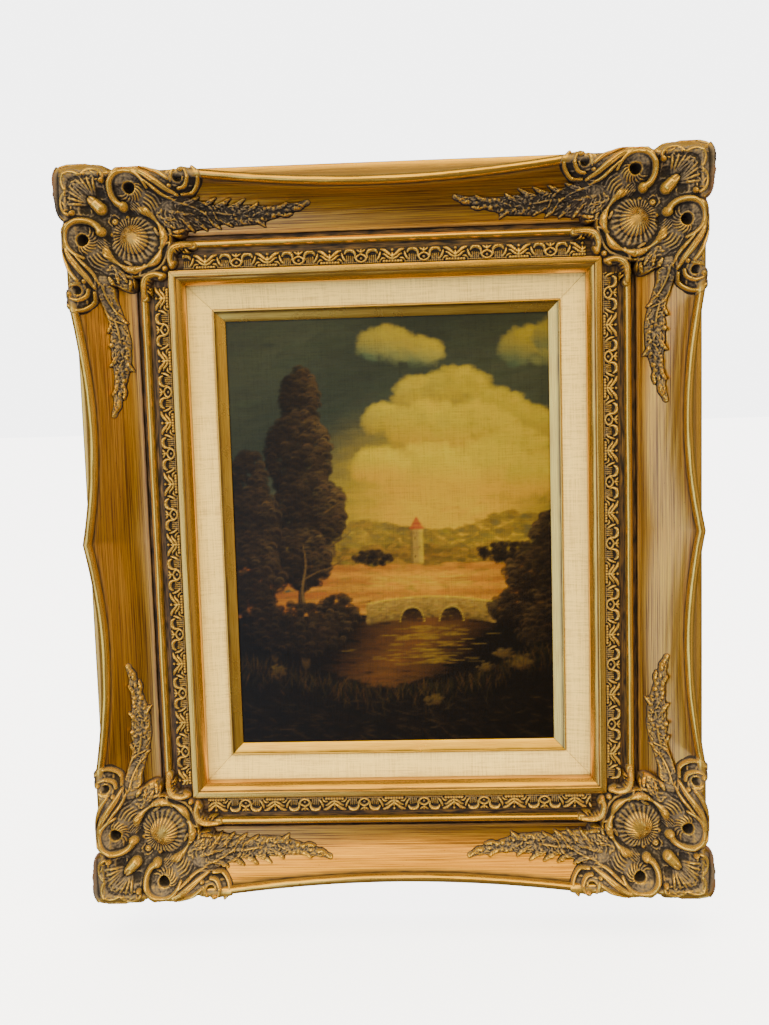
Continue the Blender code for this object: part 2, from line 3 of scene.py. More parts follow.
import bpy
import numpy as np
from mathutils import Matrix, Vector


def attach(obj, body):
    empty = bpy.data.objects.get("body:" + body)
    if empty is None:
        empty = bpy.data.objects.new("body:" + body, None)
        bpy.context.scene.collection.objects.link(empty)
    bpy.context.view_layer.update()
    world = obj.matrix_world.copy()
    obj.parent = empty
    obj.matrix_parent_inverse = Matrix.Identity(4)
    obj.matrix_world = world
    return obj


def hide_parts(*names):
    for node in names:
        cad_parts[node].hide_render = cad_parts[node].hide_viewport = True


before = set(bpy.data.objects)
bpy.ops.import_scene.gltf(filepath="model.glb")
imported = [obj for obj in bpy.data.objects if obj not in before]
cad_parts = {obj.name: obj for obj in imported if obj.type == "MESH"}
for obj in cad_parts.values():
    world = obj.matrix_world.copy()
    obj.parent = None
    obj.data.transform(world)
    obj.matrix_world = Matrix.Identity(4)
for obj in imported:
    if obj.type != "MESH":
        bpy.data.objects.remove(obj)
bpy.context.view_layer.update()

mm = 0.001
sides = ("top", "bottom", "left", "right")

# The picture hangs facing -Y. Distances in the dictionaries are in mm. "inward" runs from the frame's outer
# edge towards the picture, "rise" from the frame's flat back towards the viewer.
frameSize = {
    "halfWidth": 284.3,
    "halfHeight": 335.1,
    "middle": -285.5,
    "mitreGap": 0.213,  # along each rail
    "lipLine": 14,  # how far in the swept lip runs
    "uneven": 0.12,
    "unevenAbove": 38,
}
topEdge = frameSize["middle"] + frameSize["halfHeight"]


def objectMode():
    bpy.ops.object.mode_set(mode="OBJECT")


def editMode(action=None, kind=None):
    # action chooses all or nothing, kind is the sort of element that is chosen
    bpy.ops.object.mode_set(mode="EDIT")
    if kind:
        bpy.ops.mesh.select_mode(type=kind)
    if action:
        bpy.ops.mesh.select_all(action=action)


def deselectAll():
    if bpy.context.object and bpy.context.object.mode != "OBJECT":
        objectMode()
    bpy.ops.object.select_all(action="DESELECT")


def makeActive(piece):
    deselectAll()
    piece.select_set(True)
    bpy.context.view_layer.objects.active = piece


def onSide(side, along, inward, rise):
    # world place in metres of a spot on one rail; along runs from the rail's middle
    along, inward, rise = np.broadcast_arrays(along, inward, rise)
    if side == "top":
        spot = along, -rise, topEdge - inward
    elif side == "bottom":
        spot = along, -rise, frameSize["middle"] - frameSize["halfHeight"] + inward
    elif side == "left":
        spot = inward - frameSize["halfWidth"], -rise, frameSize["middle"] + along
    else:
        spot = frameSize["halfWidth"] - inward, -rise, frameSize["middle"] + along
    return np.stack(spot, axis=-1) * mm


def halfOuter(side):
    return frameSize["halfWidth"] if side in ("top", "bottom") else frameSize["halfHeight"]


cornerSteps = 3  # for each rounded corner of a section


def softCorners(points, radii):
    # rounds each corner of a closed outline; a radius of 0 leaves the corner as it is
    ring = np.array(points, dtype=float)
    made = []
    for i, radius in enumerate(radii):
        here, before, after = ring[i], ring[i - 1], ring[(i + 1) % len(ring)]
        if radius == 0:
            made.append(here)
            continue
        back = before - here
        on = after - here
        start = here + back * min(0.45, radius / np.hypot(*back))
        end = here + on * min(0.45, radius / np.hypot(*on))
        for t in np.linspace(0, 1, cornerSteps + 1):
            made.append((1 - t) ** 2 * start + 2 * t * (1 - t) * here + t**2 * end)
    return np.array(made)


def cornerValues(rows, column):
    # one value for each point that softCorners makes from the same rows; column 2 holds the radius
    values = []
    for row in rows:
        values += [row[column]] * (1 if row[2] == 0 else cornerSteps + 1)
    return np.array(values)


def addGrid(name, across, around):
    # a flat grid with its vertices in reading order, ready to be shaped
    deselectAll()
    bpy.ops.mesh.primitive_grid_add(x_subdivisions=across - 1, y_subdivisions=around - 1, size=2)
    piece = bpy.context.object
    piece.name = piece.data.name = name
    return piece


def setPlaces(piece, places):
    piece.data.vertices.foreach_set("co", np.ascontiguousarray(places, dtype=np.float32).ravel())
    piece.data.update()


def getPlaces(piece):
    places = np.empty(len(piece.data.vertices) * 3, dtype=np.float32)
    piece.data.vertices.foreach_get("co", places)
    return places.reshape(-1, 3)


def setAttribute(piece, name, values):
    layer = piece.data.attributes.new(name, "FLOAT", "POINT")
    layer.data.foreach_set("value", np.ascontiguousarray(values, dtype=np.float32).ravel())


def setUv(piece, u, v):
    # u and v are given for each vertex, in metres
    corners = np.empty(len(piece.data.loops), dtype=np.int32)
    piece.data.loops.foreach_get("vertex_index", corners)
    layer = piece.data.uv_layers[0] if piece.data.uv_layers else piece.data.uv_layers.new(name="UVMap")
    pairs = np.stack([u.ravel()[corners], v.ravel()[corners]], axis=1)
    layer.data.foreach_set("uv", pairs.ravel().astype(np.float32))


def closeBar(piece):
    # welds the long seam of a wrapped grid and fills its two ends
    makeActive(piece)
    editMode("SELECT")
    bpy.ops.mesh.remove_doubles(threshold=0.000002)
    bpy.ops.mesh.select_all(action="DESELECT")
    bpy.ops.mesh.select_mode(type="EDGE")
    bpy.ops.mesh.select_non_manifold(extend=False, use_boundary=True, use_wire=False, use_multi_face=False)
    bpy.ops.mesh.fill_holes(sides=0)
    bpy.ops.mesh.select_all(action="SELECT")
    bpy.ops.mesh.normals_make_consistent(inside=False)
    objectMode()


def loftBar(name, side, stations, section, marks=None):
    # a bar from a wrapped grid; section(along) gives (inward, rise) for each station, as an array of points
    half = halfOuter(side)
    share = np.linspace(-1, 1, stations)
    rows = [section(s * (half - frameSize["lipLine"])) for s in share]
    ring = np.array([np.vstack([row, row[:1]]) for row in rows])
    inward = ring[..., 0]
    rise = ring[..., 1]
    along = share[:, None] * (half - inward - frameSize["mitreGap"])
    # the front is a little uneven, as gesso rubbed down by hand
    lump = np.sin(along * 0.071 + inward) * np.sin(along * 0.031 + 2.1) * (rise > frameSize["unevenAbove"])
    piece = addGrid(name, ring.shape[1], stations)
    setPlaces(piece, onSide(side, along, inward, rise + frameSize["uneven"] * lump).reshape(-1, 3))
    steps = np.hypot(np.diff(inward, axis=1), np.diff(rise, axis=1))
    arc = np.concatenate([np.zeros((stations, 1)), np.cumsum(steps, axis=1)], axis=1)
    # measured back from the rabbet, so that brush marks run straight and do not follow the swept lip
    setUv(piece, along * mm, (arc[:, -1:] - arc) * mm)
    for mark, values in (marks or {}).items():
        setAttribute(piece, mark, np.tile(np.append(values, values[0]), (stations, 1)))
    closeBar(piece)
    return piece


def finished(piece, node, material, smooth=None):
    # smooth is the angle in degrees up to which the shading runs over an edge
    if smooth:
        makeActive(piece)
        bpy.ops.object.shade_smooth_by_angle(angle=math.radians(smooth))
    piece.data.materials.clear()
    piece.data.materials.append(material)
    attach(piece, "root")
    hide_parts(node)


# Materials

class Nodes:
    # short ways to add and join nodes in one material or world
    def __init__(self, owner):
        self.tree = owner.node_tree

    def put(self, value, socket):
        # another node's output is linked, anything else is set
        if isinstance(value, bpy.types.NodeSocket):
            self.tree.links.new(value, socket)
        elif isinstance(value, tuple) and socket.type == "RGBA":
            socket.default_value = (*value, 1)
        else:
            socket.default_value = value

    def add(self, kind, inputs=(), **settings):
        node = self.tree.nodes.new(kind)
        for key, value in settings.items():
            setattr(node, key, value)
        for key, value in dict(inputs).items():
            self.put(value, node.inputs[key])
        return node

    def place(self, kind, scale):
        # kind is "UV" or "Object"; scale is given for each axis
        texture = self.add("ShaderNodeTexCoord")
        return self.add("ShaderNodeMapping", {"Vector": texture.outputs[kind], "Scale": scale}).outputs[0]

    def attribute(self, name, output="Fac"):
        return self.add("ShaderNodeAttribute", attribute_name=name).outputs[output]

    def noise(self, kind, scale, detail=3.0, rough=0.55, distortion=0.0):
        inputs = {"Vector": self.place(kind, scale), "Scale": 1.0, "Detail": detail, "Roughness": rough,
                  "Distortion": distortion}
        return self.add("ShaderNodeTexNoise", inputs).outputs["Fac"]

    def ramp(self, value, stops):
        node = self.add("ShaderNodeValToRGB", {"Fac": value})
        band = node.color_ramp
        while len(band.elements) < len(stops):
            band.elements.new(0.5)
        for element, (place, colour) in zip(band.elements, stops):
            element.position = place
            element.color = (*colour, 1) if isinstance(colour, tuple) else (colour, colour, colour, 1)
        return node.outputs["Color"]

    def mix(self, share, first, second, blend="MIX"):
        node = self.add("ShaderNodeMix", data_type="RGBA", blend_type=blend, clamp_factor=True)
        for socket, value in ((0, share), (6, first), (7, second)):
            self.put(value, node.inputs[socket])
        return node.outputs[2]

    def math(self, how, first, second, third=None):
        node = self.add("ShaderNodeMath", {0: first, 1: second}, operation=how)
        if third is not None:
            self.put(third, node.inputs[2])
        return node.outputs[0]

    def bump(self, height, strength, distance, shader):
        node = self.add("ShaderNodeBump", {"Height": height, "Strength": strength, "Distance": distance})
        self.put(node.outputs[0], shader.inputs["Normal"])


def newMaterial(name, **values):
    # values are the shader's own, with _ for a space
    material = bpy.data.materials.new(name)
    material.use_nodes = True
    shader = material.node_tree.nodes["Principled BSDF"]
    n = Nodes(material)
    for key, value in values.items():
        n.put(value, shader.inputs[key.replace("_", " ")])
    return material, shader, n


lacquer = {"Coat_IOR": 1.75, "Coat_Roughness": 0.25}

gilding = {
    "panel": (0.50, 0.190, 0.018),
    "panelLight": (0.80, 0.38, 0.018),
    "panelDark": (0.10, 0.032, 0.006),
    "polished": (0.92, 0.55, 0.10),
    "grime": (0.018, 0.009, 0.004),
    "wood": (0.44, 0.27, 0.13),
    "woodDark": (0.24, 0.135, 0.06),
    "bareBehind": -0.0006,
    "metal": 0.92,
    "roughness": (0.24, 0.40),
    "lacquer": 0.6,
    "fineBrush": (9, 1150, 1),
    "broadBrush": (3, 300, 1),
    "longMarks": (8, 900, 1),
    "grimeSpread": (60, 500, 1),
    "specks": (380, 700, 1),
    "speckShare": 0.7,
    "clouds": (9, 9, 9),
    "bumpStrength": 0.45,
    "bumpDepth": 0.0003,
}


def makeGilding():
    material, shader, n = newMaterial("brushed amber gilding", **lacquer)
    fine = n.noise("UV", gilding["fineBrush"], detail=5, rough=0.66)
    broad = n.noise("UV", gilding["broadBrush"])
    cloud = n.noise("Object", gilding["clouds"])
    streak = n.math("ADD", n.math("MULTIPLY", fine, 0.74), n.math("MULTIPLY", broad, 0.26))
    panel = n.ramp(streak, [(0.40, gilding["panelDark"]), (0.475, gilding["panel"]),
                            (0.57, gilding["panelLight"])])
    polishedTone = n.ramp(streak, [(0.36, gilding["panel"]), (0.46, gilding["polished"])])
    worn = n.math("MULTIPLY", n.attribute("polish"), n.ramp(cloud, [(0.30, 0.55), (0.55, 1.0)]))
    colour = n.mix(worn, panel, polishedTone)
    # long dark brush marks, and grime that gathers in the quirks
    marks = n.ramp(n.noise("UV", gilding["longMarks"]), [(0.57, 0.0), (0.67, 0.75)])
    colour = n.mix(n.math("MULTIPLY", marks, n.math("SUBTRACT", 1.0, worn)), colour, gilding["panelDark"])
    spread = n.ramp(n.noise("UV", gilding["grimeSpread"], detail=4), [(0.30, 0.70), (0.6, 1.0)])
    grime = n.math("MULTIPLY", n.attribute("grime"), spread)
    colour = n.mix(grime, colour, gilding["grime"])
    specks = n.ramp(n.noise("UV", gilding["specks"], detail=2), [(0.69, 0.0), (0.75, 1.0)])
    colour = n.mix(n.math("MULTIPLY", specks, gilding["speckShare"]), colour, gilding["panelDark"])
    # the flat back is bare wood
    depth = n.add("ShaderNodeSeparateXYZ", {"Vector": n.place("Object", (1, 1, 1))}).outputs["Y"]
    gilt = n.math("LESS_THAN", depth, gilding["bareBehind"])
    wood = n.ramp(streak, [(0.38, gilding["woodDark"]), (0.58, gilding["wood"])])
    n.put(n.mix(gilt, wood, colour), shader.inputs["Base Color"])
    low, high = gilding["roughness"]
    dull = n.math("MULTIPLY_ADD", fine, high - low, low)
    dull = n.math("MULTIPLY_ADD", worn, -0.12, dull)
    dull = n.math("MULTIPLY_ADD", grime, 0.35, dull)
    n.put(n.mix(gilt, (0.8, 0.8, 0.8), dull), shader.inputs["Roughness"])
    metal = n.math("MULTIPLY_ADD", grime, -0.7, gilding["metal"])
    n.put(n.math("MULTIPLY", metal, gilt), shader.inputs["Metallic"])
    clean = n.math("SUBTRACT", gilt, n.math("MAXIMUM", grime, worn))
    n.put(n.math("MULTIPLY", clean, gilding["lacquer"]), shader.inputs["Coat Weight"])
    height = n.math("ADD", fine, n.math("MULTIPLY", broad, 0.6))
    n.bump(height, gilding["bumpStrength"], gilding["bumpDepth"], shader)
    return material


antique = {
    "eye": (0.016, 0.009, 0.005),
    "hollow": (0.058, 0.040, 0.023),
    "taupe": (0.175, 0.122, 0.066),
    "middle": (0.42, 0.245, 0.052),
    "high": (0.88, 0.53, 0.090),
    "rust": (0.15, 0.062, 0.020),
    "patches": (38, 38, 38),
    "grains": (520, 520, 520),
    "mottle": 0.26,
    "bumpStrength": 0.4,
    "bumpDepth": 0.00025,
}


def makeAntique():
    # dark in the hollows and gold on the tops, by the "relief" of the piece
    material, shader, n = newMaterial("antique gold with patina")
    patch = n.noise("Object", antique["patches"], detail=4)
    grain = n.noise("Object", antique["grains"], detail=4)
    lift = n.attribute("relief")
    for layer in (patch, grain):
        lift = n.math("ADD", lift, n.math("MULTIPLY_ADD", layer, antique["mottle"], -antique["mottle"] / 2))
    colour = n.ramp(lift, [(0.04, antique["eye"]), (0.18, antique["hollow"]), (0.32, antique["taupe"]),
                           (0.47, antique["middle"]), (0.66, antique["high"])])
    rust = n.math("MULTIPLY", n.attribute("edgeWear"), n.ramp(patch, [(0.40, 0.0), (0.55, 0.85)]))
    n.put(n.mix(rust, colour, antique["rust"]), shader.inputs["Base Color"])
    n.put(n.ramp(lift, [(0.20, 0.80), (0.42, 0.48), (0.70, 0.25)]), shader.inputs["Roughness"])
    n.put(n.ramp(lift, [(0.22, 0.10), (0.50, 0.80)]), shader.inputs["Metallic"])
    n.bump(grain, antique["bumpStrength"], antique["bumpDepth"], shader)
    return material


linen = {
    "warp": (0.62, 0.40, 0.105),
    "pale": (0.96, 0.67, 0.170),
    "slub": (0.46, 0.28, 0.085),
    "threads": 1300,
    "threadLength": 24,
    "acrossSlubs": (55, 200, 1000),
    "downSlubs": (1000, 200, 60),
    "stains": (11, 11, 11),
    "sheen": 0.2,
    "bumpStrength": 0.55,
    "bumpDepth": 0.0003,
}


def weaveNoise(n, count, length):
    # threads that run across, and threads that run down
    scales = (length, length, count), (count, length, length)
    return [n.noise("Object", scale, detail=2, rough=0.7) for scale in scales]


def makeLinen():
    material, shader, n = newMaterial("slub linen", Roughness=0.9, Sheen_Weight=linen["sheen"])
    weave = n.math("ADD", *weaveNoise(n, linen["threads"], linen["threadLength"]))
    colour = n.ramp(n.math("MULTIPLY", weave, 0.5), [(0.38, linen["warp"]), (0.50, linen["pale"])])
    acrossSlub = n.noise("Object", linen["acrossSlubs"])
    downSlub = n.noise("Object", linen["downSlubs"])
    colour = n.mix(n.ramp(acrossSlub, [(0.56, 0.0), (0.68, 0.50)]), colour, linen["slub"])
    colour = n.mix(n.ramp(downSlub, [(0.58, 0.0), (0.70, 0.36)]), colour, linen["slub"])
    stain = n.ramp(n.noise("Object", linen["stains"]), [(0.35, 0.0), (0.75, 0.30)])
    n.put(n.mix(stain, colour, linen["warp"]), shader.inputs["Base Color"])
    height = n.math("ADD", weave, n.math("ADD", acrossSlub, downSlub))
    n.bump(height, linen["bumpStrength"], linen["bumpDepth"], shader)
    return material


slipGold = {
    "bright": (0.97, 0.60, 0.085),
    "deep": (0.66, 0.32, 0.035),
    "grime": (0.05, 0.022, 0.007),
    "brush": (30, 1200, 1),
    "clouds": (30, 30, 30),
    "metal": 0.95,
    "lacquer": 0.7,
    "roughness": (0.18, 0.40),
    "bumpStrength": 0.25,
    "bumpDepth": 0.00015,
}


def makeSlipGold():
    material, shader, n = newMaterial(
        "satin bright gold", Metallic=slipGold["metal"], Coat_Weight=slipGold["lacquer"], **lacquer
    )
    fine = n.noise("UV", slipGold["brush"])
    cloud = n.noise("Object", slipGold["clouds"])
    colour = n.mix(n.ramp(fine, [(0.35, 0.75), (0.6, 0.0)]), slipGold["bright"], slipGold["deep"])
    grime = n.math("MULTIPLY", n.attribute("grime"), n.ramp(cloud, [(0.3, 0.5), (0.6, 1.0)]))
    n.put(n.mix(grime, colour, slipGold["grime"]), shader.inputs["Base Color"])
    low, high = slipGold["roughness"]
    n.put(n.math("MULTIPLY_ADD", cloud, high - low, low), shader.inputs["Roughness"])
    n.bump(fine, slipGold["bumpStrength"], slipGold["bumpDepth"], shader)
    return material


pine = {
    "light": (0.66, 0.45, 0.24),
    "dark": (0.40, 0.22, 0.09),
    "alongX": (6, 60, 90),
    "alongZ": (90, 60, 6),
    "fibres": 12,
    "bumpStrength": 0.3,
    "bumpDepth": 0.0003,
}


def makePine(name, scale):
    material, shader, n = newMaterial(name, Roughness=0.62)
    ring = n.noise("Object", scale, detail=4, distortion=0.6)
    fibre = n.noise("Object", tuple(s * pine["fibres"] for s in scale))
    colour = n.mix(n.ramp(ring, [(0.40, 0.0), (0.52, 1.0), (0.56, 0.2)]), pine["light"], pine["dark"])
    n.put(n.mix(n.math("MULTIPLY", fibre, 0.3), colour, pine["dark"]), shader.inputs["Base Color"])
    n.bump(fibre, pine["bumpStrength"], pine["bumpDepth"], shader)
    return material


# Gilt rails

rail = {
    "ledge": (7.8, 17.0),  # at the wall: inward, rise
    "lipInset": {"top": 8.0, "bottom": 5.5, "left": 6.5, "right": 6.0},
    "lipWidth": 8.0,
    "lipRise": 61.0,
    "lipBead": 4.6,  # how far the lip stands above its shoulders
    "quirk": 3.2,  # how far below the shoulder the cove starts
    "sweep": 10.8,
    "sweepFrom": 128.0,  # from the outer corner
    "coveFoot": (62.1, 34.0),
    "covePower": 1.9,
    "footQuirk": (0.6, 2.5),  # the small step in and down at the cove's foot
    "bead": (67.6, 6.5, 41.5, 46.0),  # start, width, shoulder, top
    "flat": (74.1, 92.9, 40.0),  # start, end, rise
    "fillet": (98.4, 44.0),
    "filletSlope": (0.8, 1.6),
    "sightEdge": (105.7, 36.5),
    "sightBulge": 1.1,
    "rabbet": (99.2, 27.6),
    "spacing": 2.5,
    "lipSteps": 13,
    "coveSteps": 26,
    "beadSteps": 11,
    "smooth": 40,
}


def lipInset(side, along):
    half = halfOuter(side) - rail["sweepFrom"]
    share = np.abs(along) / half
    if side in ("left", "right"):
        share = np.abs(share * 2 - 1)
    return rail["lipInset"][side] + rail["sweep"] * (1 - np.clip(share, 0, 1) ** 2)


def coveRise(inward, inset):
    footIn, footRise = rail["coveFoot"]
    start = inset + rail["lipWidth"]
    top = rail["lipRise"] - rail["lipBead"] - rail["quirk"]
    share = np.clip((footIn - inward) / (footIn - start), 0, 1)
    return footRise + (top - footRise) * share ** rail["covePower"]


def roundBead(start, width, shoulder, top, steps, grime):
    # polished all round; the grime lies in the corners where the bead meets its neighbours
    rows = []
    for a in np.linspace(0, math.pi, steps):
        spot = start + width / 2 * (1 - math.cos(a)), shoulder + (top - shoulder) * math.sin(a)
        rows.append((*spot, 0, 1.0, grime if a in (0, math.pi) else 0.0))
    return rows


def railSection(side, along):
    # points around the moulding, each with the radius of its corner, its polish and its grime
    inset = float(lipInset(side, along))
    shoulder = rail["lipRise"] - rail["lipBead"]
    ledgeIn, ledgeRise = rail["ledge"]
    footIn, footRise = rail["coveFoot"]
    quirkIn, quirkRise = footIn + rail["footQuirk"][0], footRise - rail["footQuirk"][1]
    beadIn, beadWidth, beadShoulder, beadTop = rail["bead"]
    flatIn, flatEnd, flatRise = rail["flat"]
    filletEnd, filletRise = rail["fillet"]
    rows = [(0, 0, 0.5, 0.3, 0.0), (0, ledgeRise, 1.6, 0.9, 0.0), (ledgeIn, ledgeRise, 0.5, 0.6, 0.9)]
    for t in np.linspace(0, 1, 9)[1:-1]:
        spot = ledgeIn + (inset - ledgeIn) * t**2, ledgeRise + (shoulder - ledgeRise) * t
        rows.append((*spot, 0, 0.5, 0.35))
    rows += roundBead(inset, rail["lipWidth"], shoulder, rail["lipRise"], rail["lipSteps"], 0.85)
    start = inset + rail["lipWidth"]
    for t in np.linspace(0, 1, rail["coveSteps"]):
        a = start + (footIn - start) * t
        grime = max(0.0, 1 - t * 14) + max(0.0, (t - 0.93) * 14)
        rows.append((a, float(coveRise(a, inset)), 0, 0.12, grime))
    rows += [(quirkIn, quirkRise, 0.4, 0.0, 1.0), (beadIn, quirkRise, 0.4, 0.0, 1.0)]
    rows += roundBead(beadIn, beadWidth, beadShoulder, beadTop, rail["beadSteps"], 0.9)
    slopeIn, slopeRise = filletEnd + rail["filletSlope"][0], filletRise - rail["filletSlope"][1]
    rows += [
        (flatIn + 0.2, flatRise, 0, 0.2, 1.0),
        (flatEnd, flatRise, 0, 0.2, 1.0),
        (flatEnd, filletRise, 0.7, 0.8, 0.1),
        (filletEnd, filletRise, 0.7, 0.9, 0.0),
        (slopeIn, slopeRise, 0.4, 0.2, 0.9),
    ]
    sightIn, sightRise = rail["sightEdge"]
    for t in np.linspace(0.12, 1, 8):
        bulge = rail["sightBulge"] * math.sin(math.pi * t)
        spot = slopeIn + (sightIn - slopeIn) * t, slopeRise + (sightRise - slopeRise) * t + bulge
        rows.append((*spot, 0, 0.75, 0.0))
    rabbetIn, rabbetRise = rail["rabbet"]
    rows += [
        (sightIn, rabbetRise, 0.3, 0.1, 0.6),
        (rabbetIn, rabbetRise, 0.2, 0, 0),
        (rabbetIn, 0, 0.4, 0, 0),
    ]
    return np.array(rows, dtype=float)


def makeRails(material):
    for side in sides:
        sample = railSection(side, 0)
        marks = {"polish": cornerValues(sample, 3), "grime": cornerValues(sample, 4)}

        def section(along, side=side):
            rows = railSection(side, along)
            return softCorners(rows[:, :2], rows[:, 2])

        stations = int(2 * halfOuter(side) / rail["spacing"]) // 2 * 2 + 1
        piece = loftBar(f"giltRail_{side}", side, stations, section, marks)
        finished(piece, f"rail_{side}", material, rail["smooth"])
    print("rails done")


makeRails(makeGilding())


# Linen liner and gold slip

liner = {
    "faceIn": 105.7,
    "faceRise": 21.4,
    "topRise": 27.3,
    "back": 4.0,
    "width": 21.2,
    "tongue": 6.0,
    "crown": [(7, 1.95), (14, 3.9)],  # from the face's outer edge: in, down
    "stations": 91,
}

slip = {
    "inner": 137.9,  # inward, at the picture
    "width": 10.7,
    "overCanvas": 17.3,
    "sight": 18.6,
    "slope": [(3, 1.28), (6, 2.4)],  # from the picture: out, up
    "rim": 23.4,
    "rimWidth": 1.8,
    "leg": 7.0,
    "back": 4.0,
}


def linerSection(along):
    inner = liner["faceIn"] + liner["width"]
    outer = liner["faceIn"] - liner["tongue"]
    face = [(liner["faceIn"] + a, liner["topRise"] - b, 0) for a, b in [(0, 0)] + liner["crown"]]
    rows = np.array([
        (outer, liner["back"], 0.3),
        (outer, liner["topRise"], 0.3),
        *face,
        (inner, liner["faceRise"], 0.7),
        (inner, liner["back"], 0.3),
    ])
    return softCorners(rows[:, :2], rows[:, 2])


def slipRows():
    # the last column is the grime
    inner = slip["inner"]
    outer = inner - slip["width"]
    rimIn = outer + slip["rimWidth"]
    rim = slip["rim"]
    return np.array([
        (inner, slip["overCanvas"], 0.2, 0.5),
        (inner, slip["sight"], 0.3, 0.1),
        *[(inner - a, slip["sight"] + b, 0, 0) for a, b in slip["slope"]],
        (rimIn + 0.1, rim - 1.2, 0.15, 0.9),
        (rimIn - 0.1, rim - 0.3, 0.2, 0.2),
        (rimIn - 0.7, rim, 0.3, 0),
        (rimIn - 1.4, rim - 0.05, 0.3, 0),
        (outer, rim - 0.6, 0.3, 0.7),
        (outer, slip["back"], 0.3, 0.4),
        (inner - slip["leg"], slip["back"], 0.3, 0.4),
        (inner - slip["leg"], slip["overCanvas"], 0.2, 0.4),
    ])


def slipSection(along):
    rows = slipRows()
    return softCorners(rows[:, :2], rows[:, 2])


linenMaterial = makeLinen()
slipMaterial = makeSlipGold()
slipMarks = {"grime": cornerValues(slipRows(), 3)}
for side in sides:
    piece = loftBar(f"linenLiner_{side}", side, liner["stations"], linerSection)
    finished(piece, f"linen_liner_{side}", linenMaterial, rail["smooth"])
    piece = loftBar(f"goldSlip_{side}", side, liner["stations"], slipSection, slipMarks)
    finished(piece, f"gold_slip_{side}", slipMaterial, rail["smooth"])
print("liner and slip done")


# Carved relief, drawn on a map of heights and then set on a grid

class Relief:
    # a map of heights in mm over a field; cell is the spacing, start the first row and column
    def __init__(self, width, height, cell, start=0.0):
        self.cell = cell
        self.start = start
        across, down = start + cell * np.arange(width), start + cell * np.arange(height)
        self.u, self.v = np.meshgrid(across, down, indexing="ij")
        for layer in ("broad", "crest", "cuts", "gilt"):
            setattr(self, layer, np.zeros_like(self.u))

    def window(self, u, v, half):
        low = [int(max(0, (middle - half - self.start) / self.cell)) for middle in (u, v)]
        high = [int(max(0, (middle + half - self.start) / self.cell + 2)) for middle in (u, v)]
        return slice(low[0], high[0]), slice(low[1], high[1])

    def ridge(self, layer, points, widths, heights, power=0.5):
        # a round-backed ridge along a smooth path, as if pulled with a shaped tool
        if layer == "gilded":
            # a broad ridge that is bright as well
            self.ridge("gilt", points, widths, (1.0, 1.0), 0.4)
            layer = "broad"
        path = smoothPath(points, self.cell)
        share = np.linspace(0, 1, len(path))
        half = np.interp(share, np.linspace(0, 1, len(widths)), widths)
        high = np.interp(share, np.linspace(0, 1, len(heights)), heights)
        field = getattr(self, layer)
        for (u, v), r, h in zip(path, half, high):
            spot = self.window(u, v, r)
            near = 1 - ((self.u[spot] - u) ** 2 + (self.v[spot] - v) ** 2) / r**2
            field[spot] = np.maximum(field[spot], h * np.clip(near, 0, None) ** power)

    def ball(self, layer, u, v, radius, height, power=0.5):
        self.ridge(layer, [(u, v), (u + 0.01, v)], (radius, radius), (height, height), power)

    def leaf(self, base, tip, width, height, bend=0.0, veins=5):
        # a pointed leaf with a raised rim, a sunk vein and side veins
        base, tip = np.array(base, float), np.array(tip, float)
        run = tip - base
        side = np.array([-run[1], run[0]]) / np.hypot(*run)
        middle = (base + tip) / 2 + side * bend
        spine = [tuple(base), tuple(middle), tuple(tip)]
        widths = (width * 0.45, width, width * 0.75, width * 0.2)
        self.ridge("broad", spine, widths, (height * 0.8, height, height * 0.7), 0.7)
        self.ridge("cuts", spine, (0.45, 0.6, 0.4), (0.6, 0.9, 0.4))
        path = smoothPath(spine, self.cell)
        for k in range(1, veins + 1):
            at = path[int(len(path) * k / (veins + 1.5))]
            on = path[min(len(path) - 1, int(len(path) * (k + 1.2) / (veins + 1.5)))]
            for way in (-1, 1):
                reach = width * (0.95 - 0.5 * abs(k / (veins + 1) - 0.4))
                self.ridge("cuts", [tuple(at), tuple(on + side * way * reach)], (0.35, 0.45), (0.4, 0.6))

    def rosette(self, u, v, radius, height, turn=0.0, petals=5):
        self.ball("broad", u, v, radius, height)
        for k in range(petals):
            angle = turn + 2 * math.pi * k / petals
            petal = u + 0.62 * radius * math.cos(angle), v + 0.62 * radius * math.sin(angle)
            self.ball("crest", *petal, radius * 0.44, 1.1, 0.8)
        self.ball("crest", u, v, radius * 0.28, 1.4)


def smoothPath(points, spacing):
    knots = np.array([points[0], *points, points[-1]], dtype=float)
    made = []
    for i in range(len(points) - 1):
        before, start, end, after = knots[i:i + 4]
        steps = max(2, int(np.hypot(*(end - start)) / spacing) + 1)
        for t in np.arange(steps) / steps:
            bend = 2 * before - 5 * start + 4 * end - after
            twist = 3 * start - before - 3 * end + after
            made.append(0.5 * (2 * start + (end - before) * t + bend * t**2 + twist * t**3))
    made.append(knots[-1])
    return np.array(made)


def beside(points, offset):
    # the same path moved sideways
    path = smoothPath(points, 2.0)
    run = np.gradient(path, axis=0)
    run /= np.hypot(run[:, 0], run[:, 1])[:, None]
    shifted = path + np.stack([-run[:, 1], run[:, 0]], axis=1) * offset
    return [tuple(spot) for spot in shifted[::3]] + [tuple(shifted[-1])]


def blurred(field, radius):
    # a soft copy of a map, made through its frequencies
    pad = int(radius * 3)
    wide = np.pad(field, pad, mode="edge")
    fx = np.fft.fftfreq(wide.shape[0])[:, None]
    fy = np.fft.rfftfreq(wide.shape[1])[None, :]
    fade = np.exp(-2 * (math.pi * radius) ** 2 * (fx**2 + fy**2))
    return np.fft.irfft2(np.fft.rfft2(wide) * fade, s=wide.shape)[pad:-pad, pad:-pad]


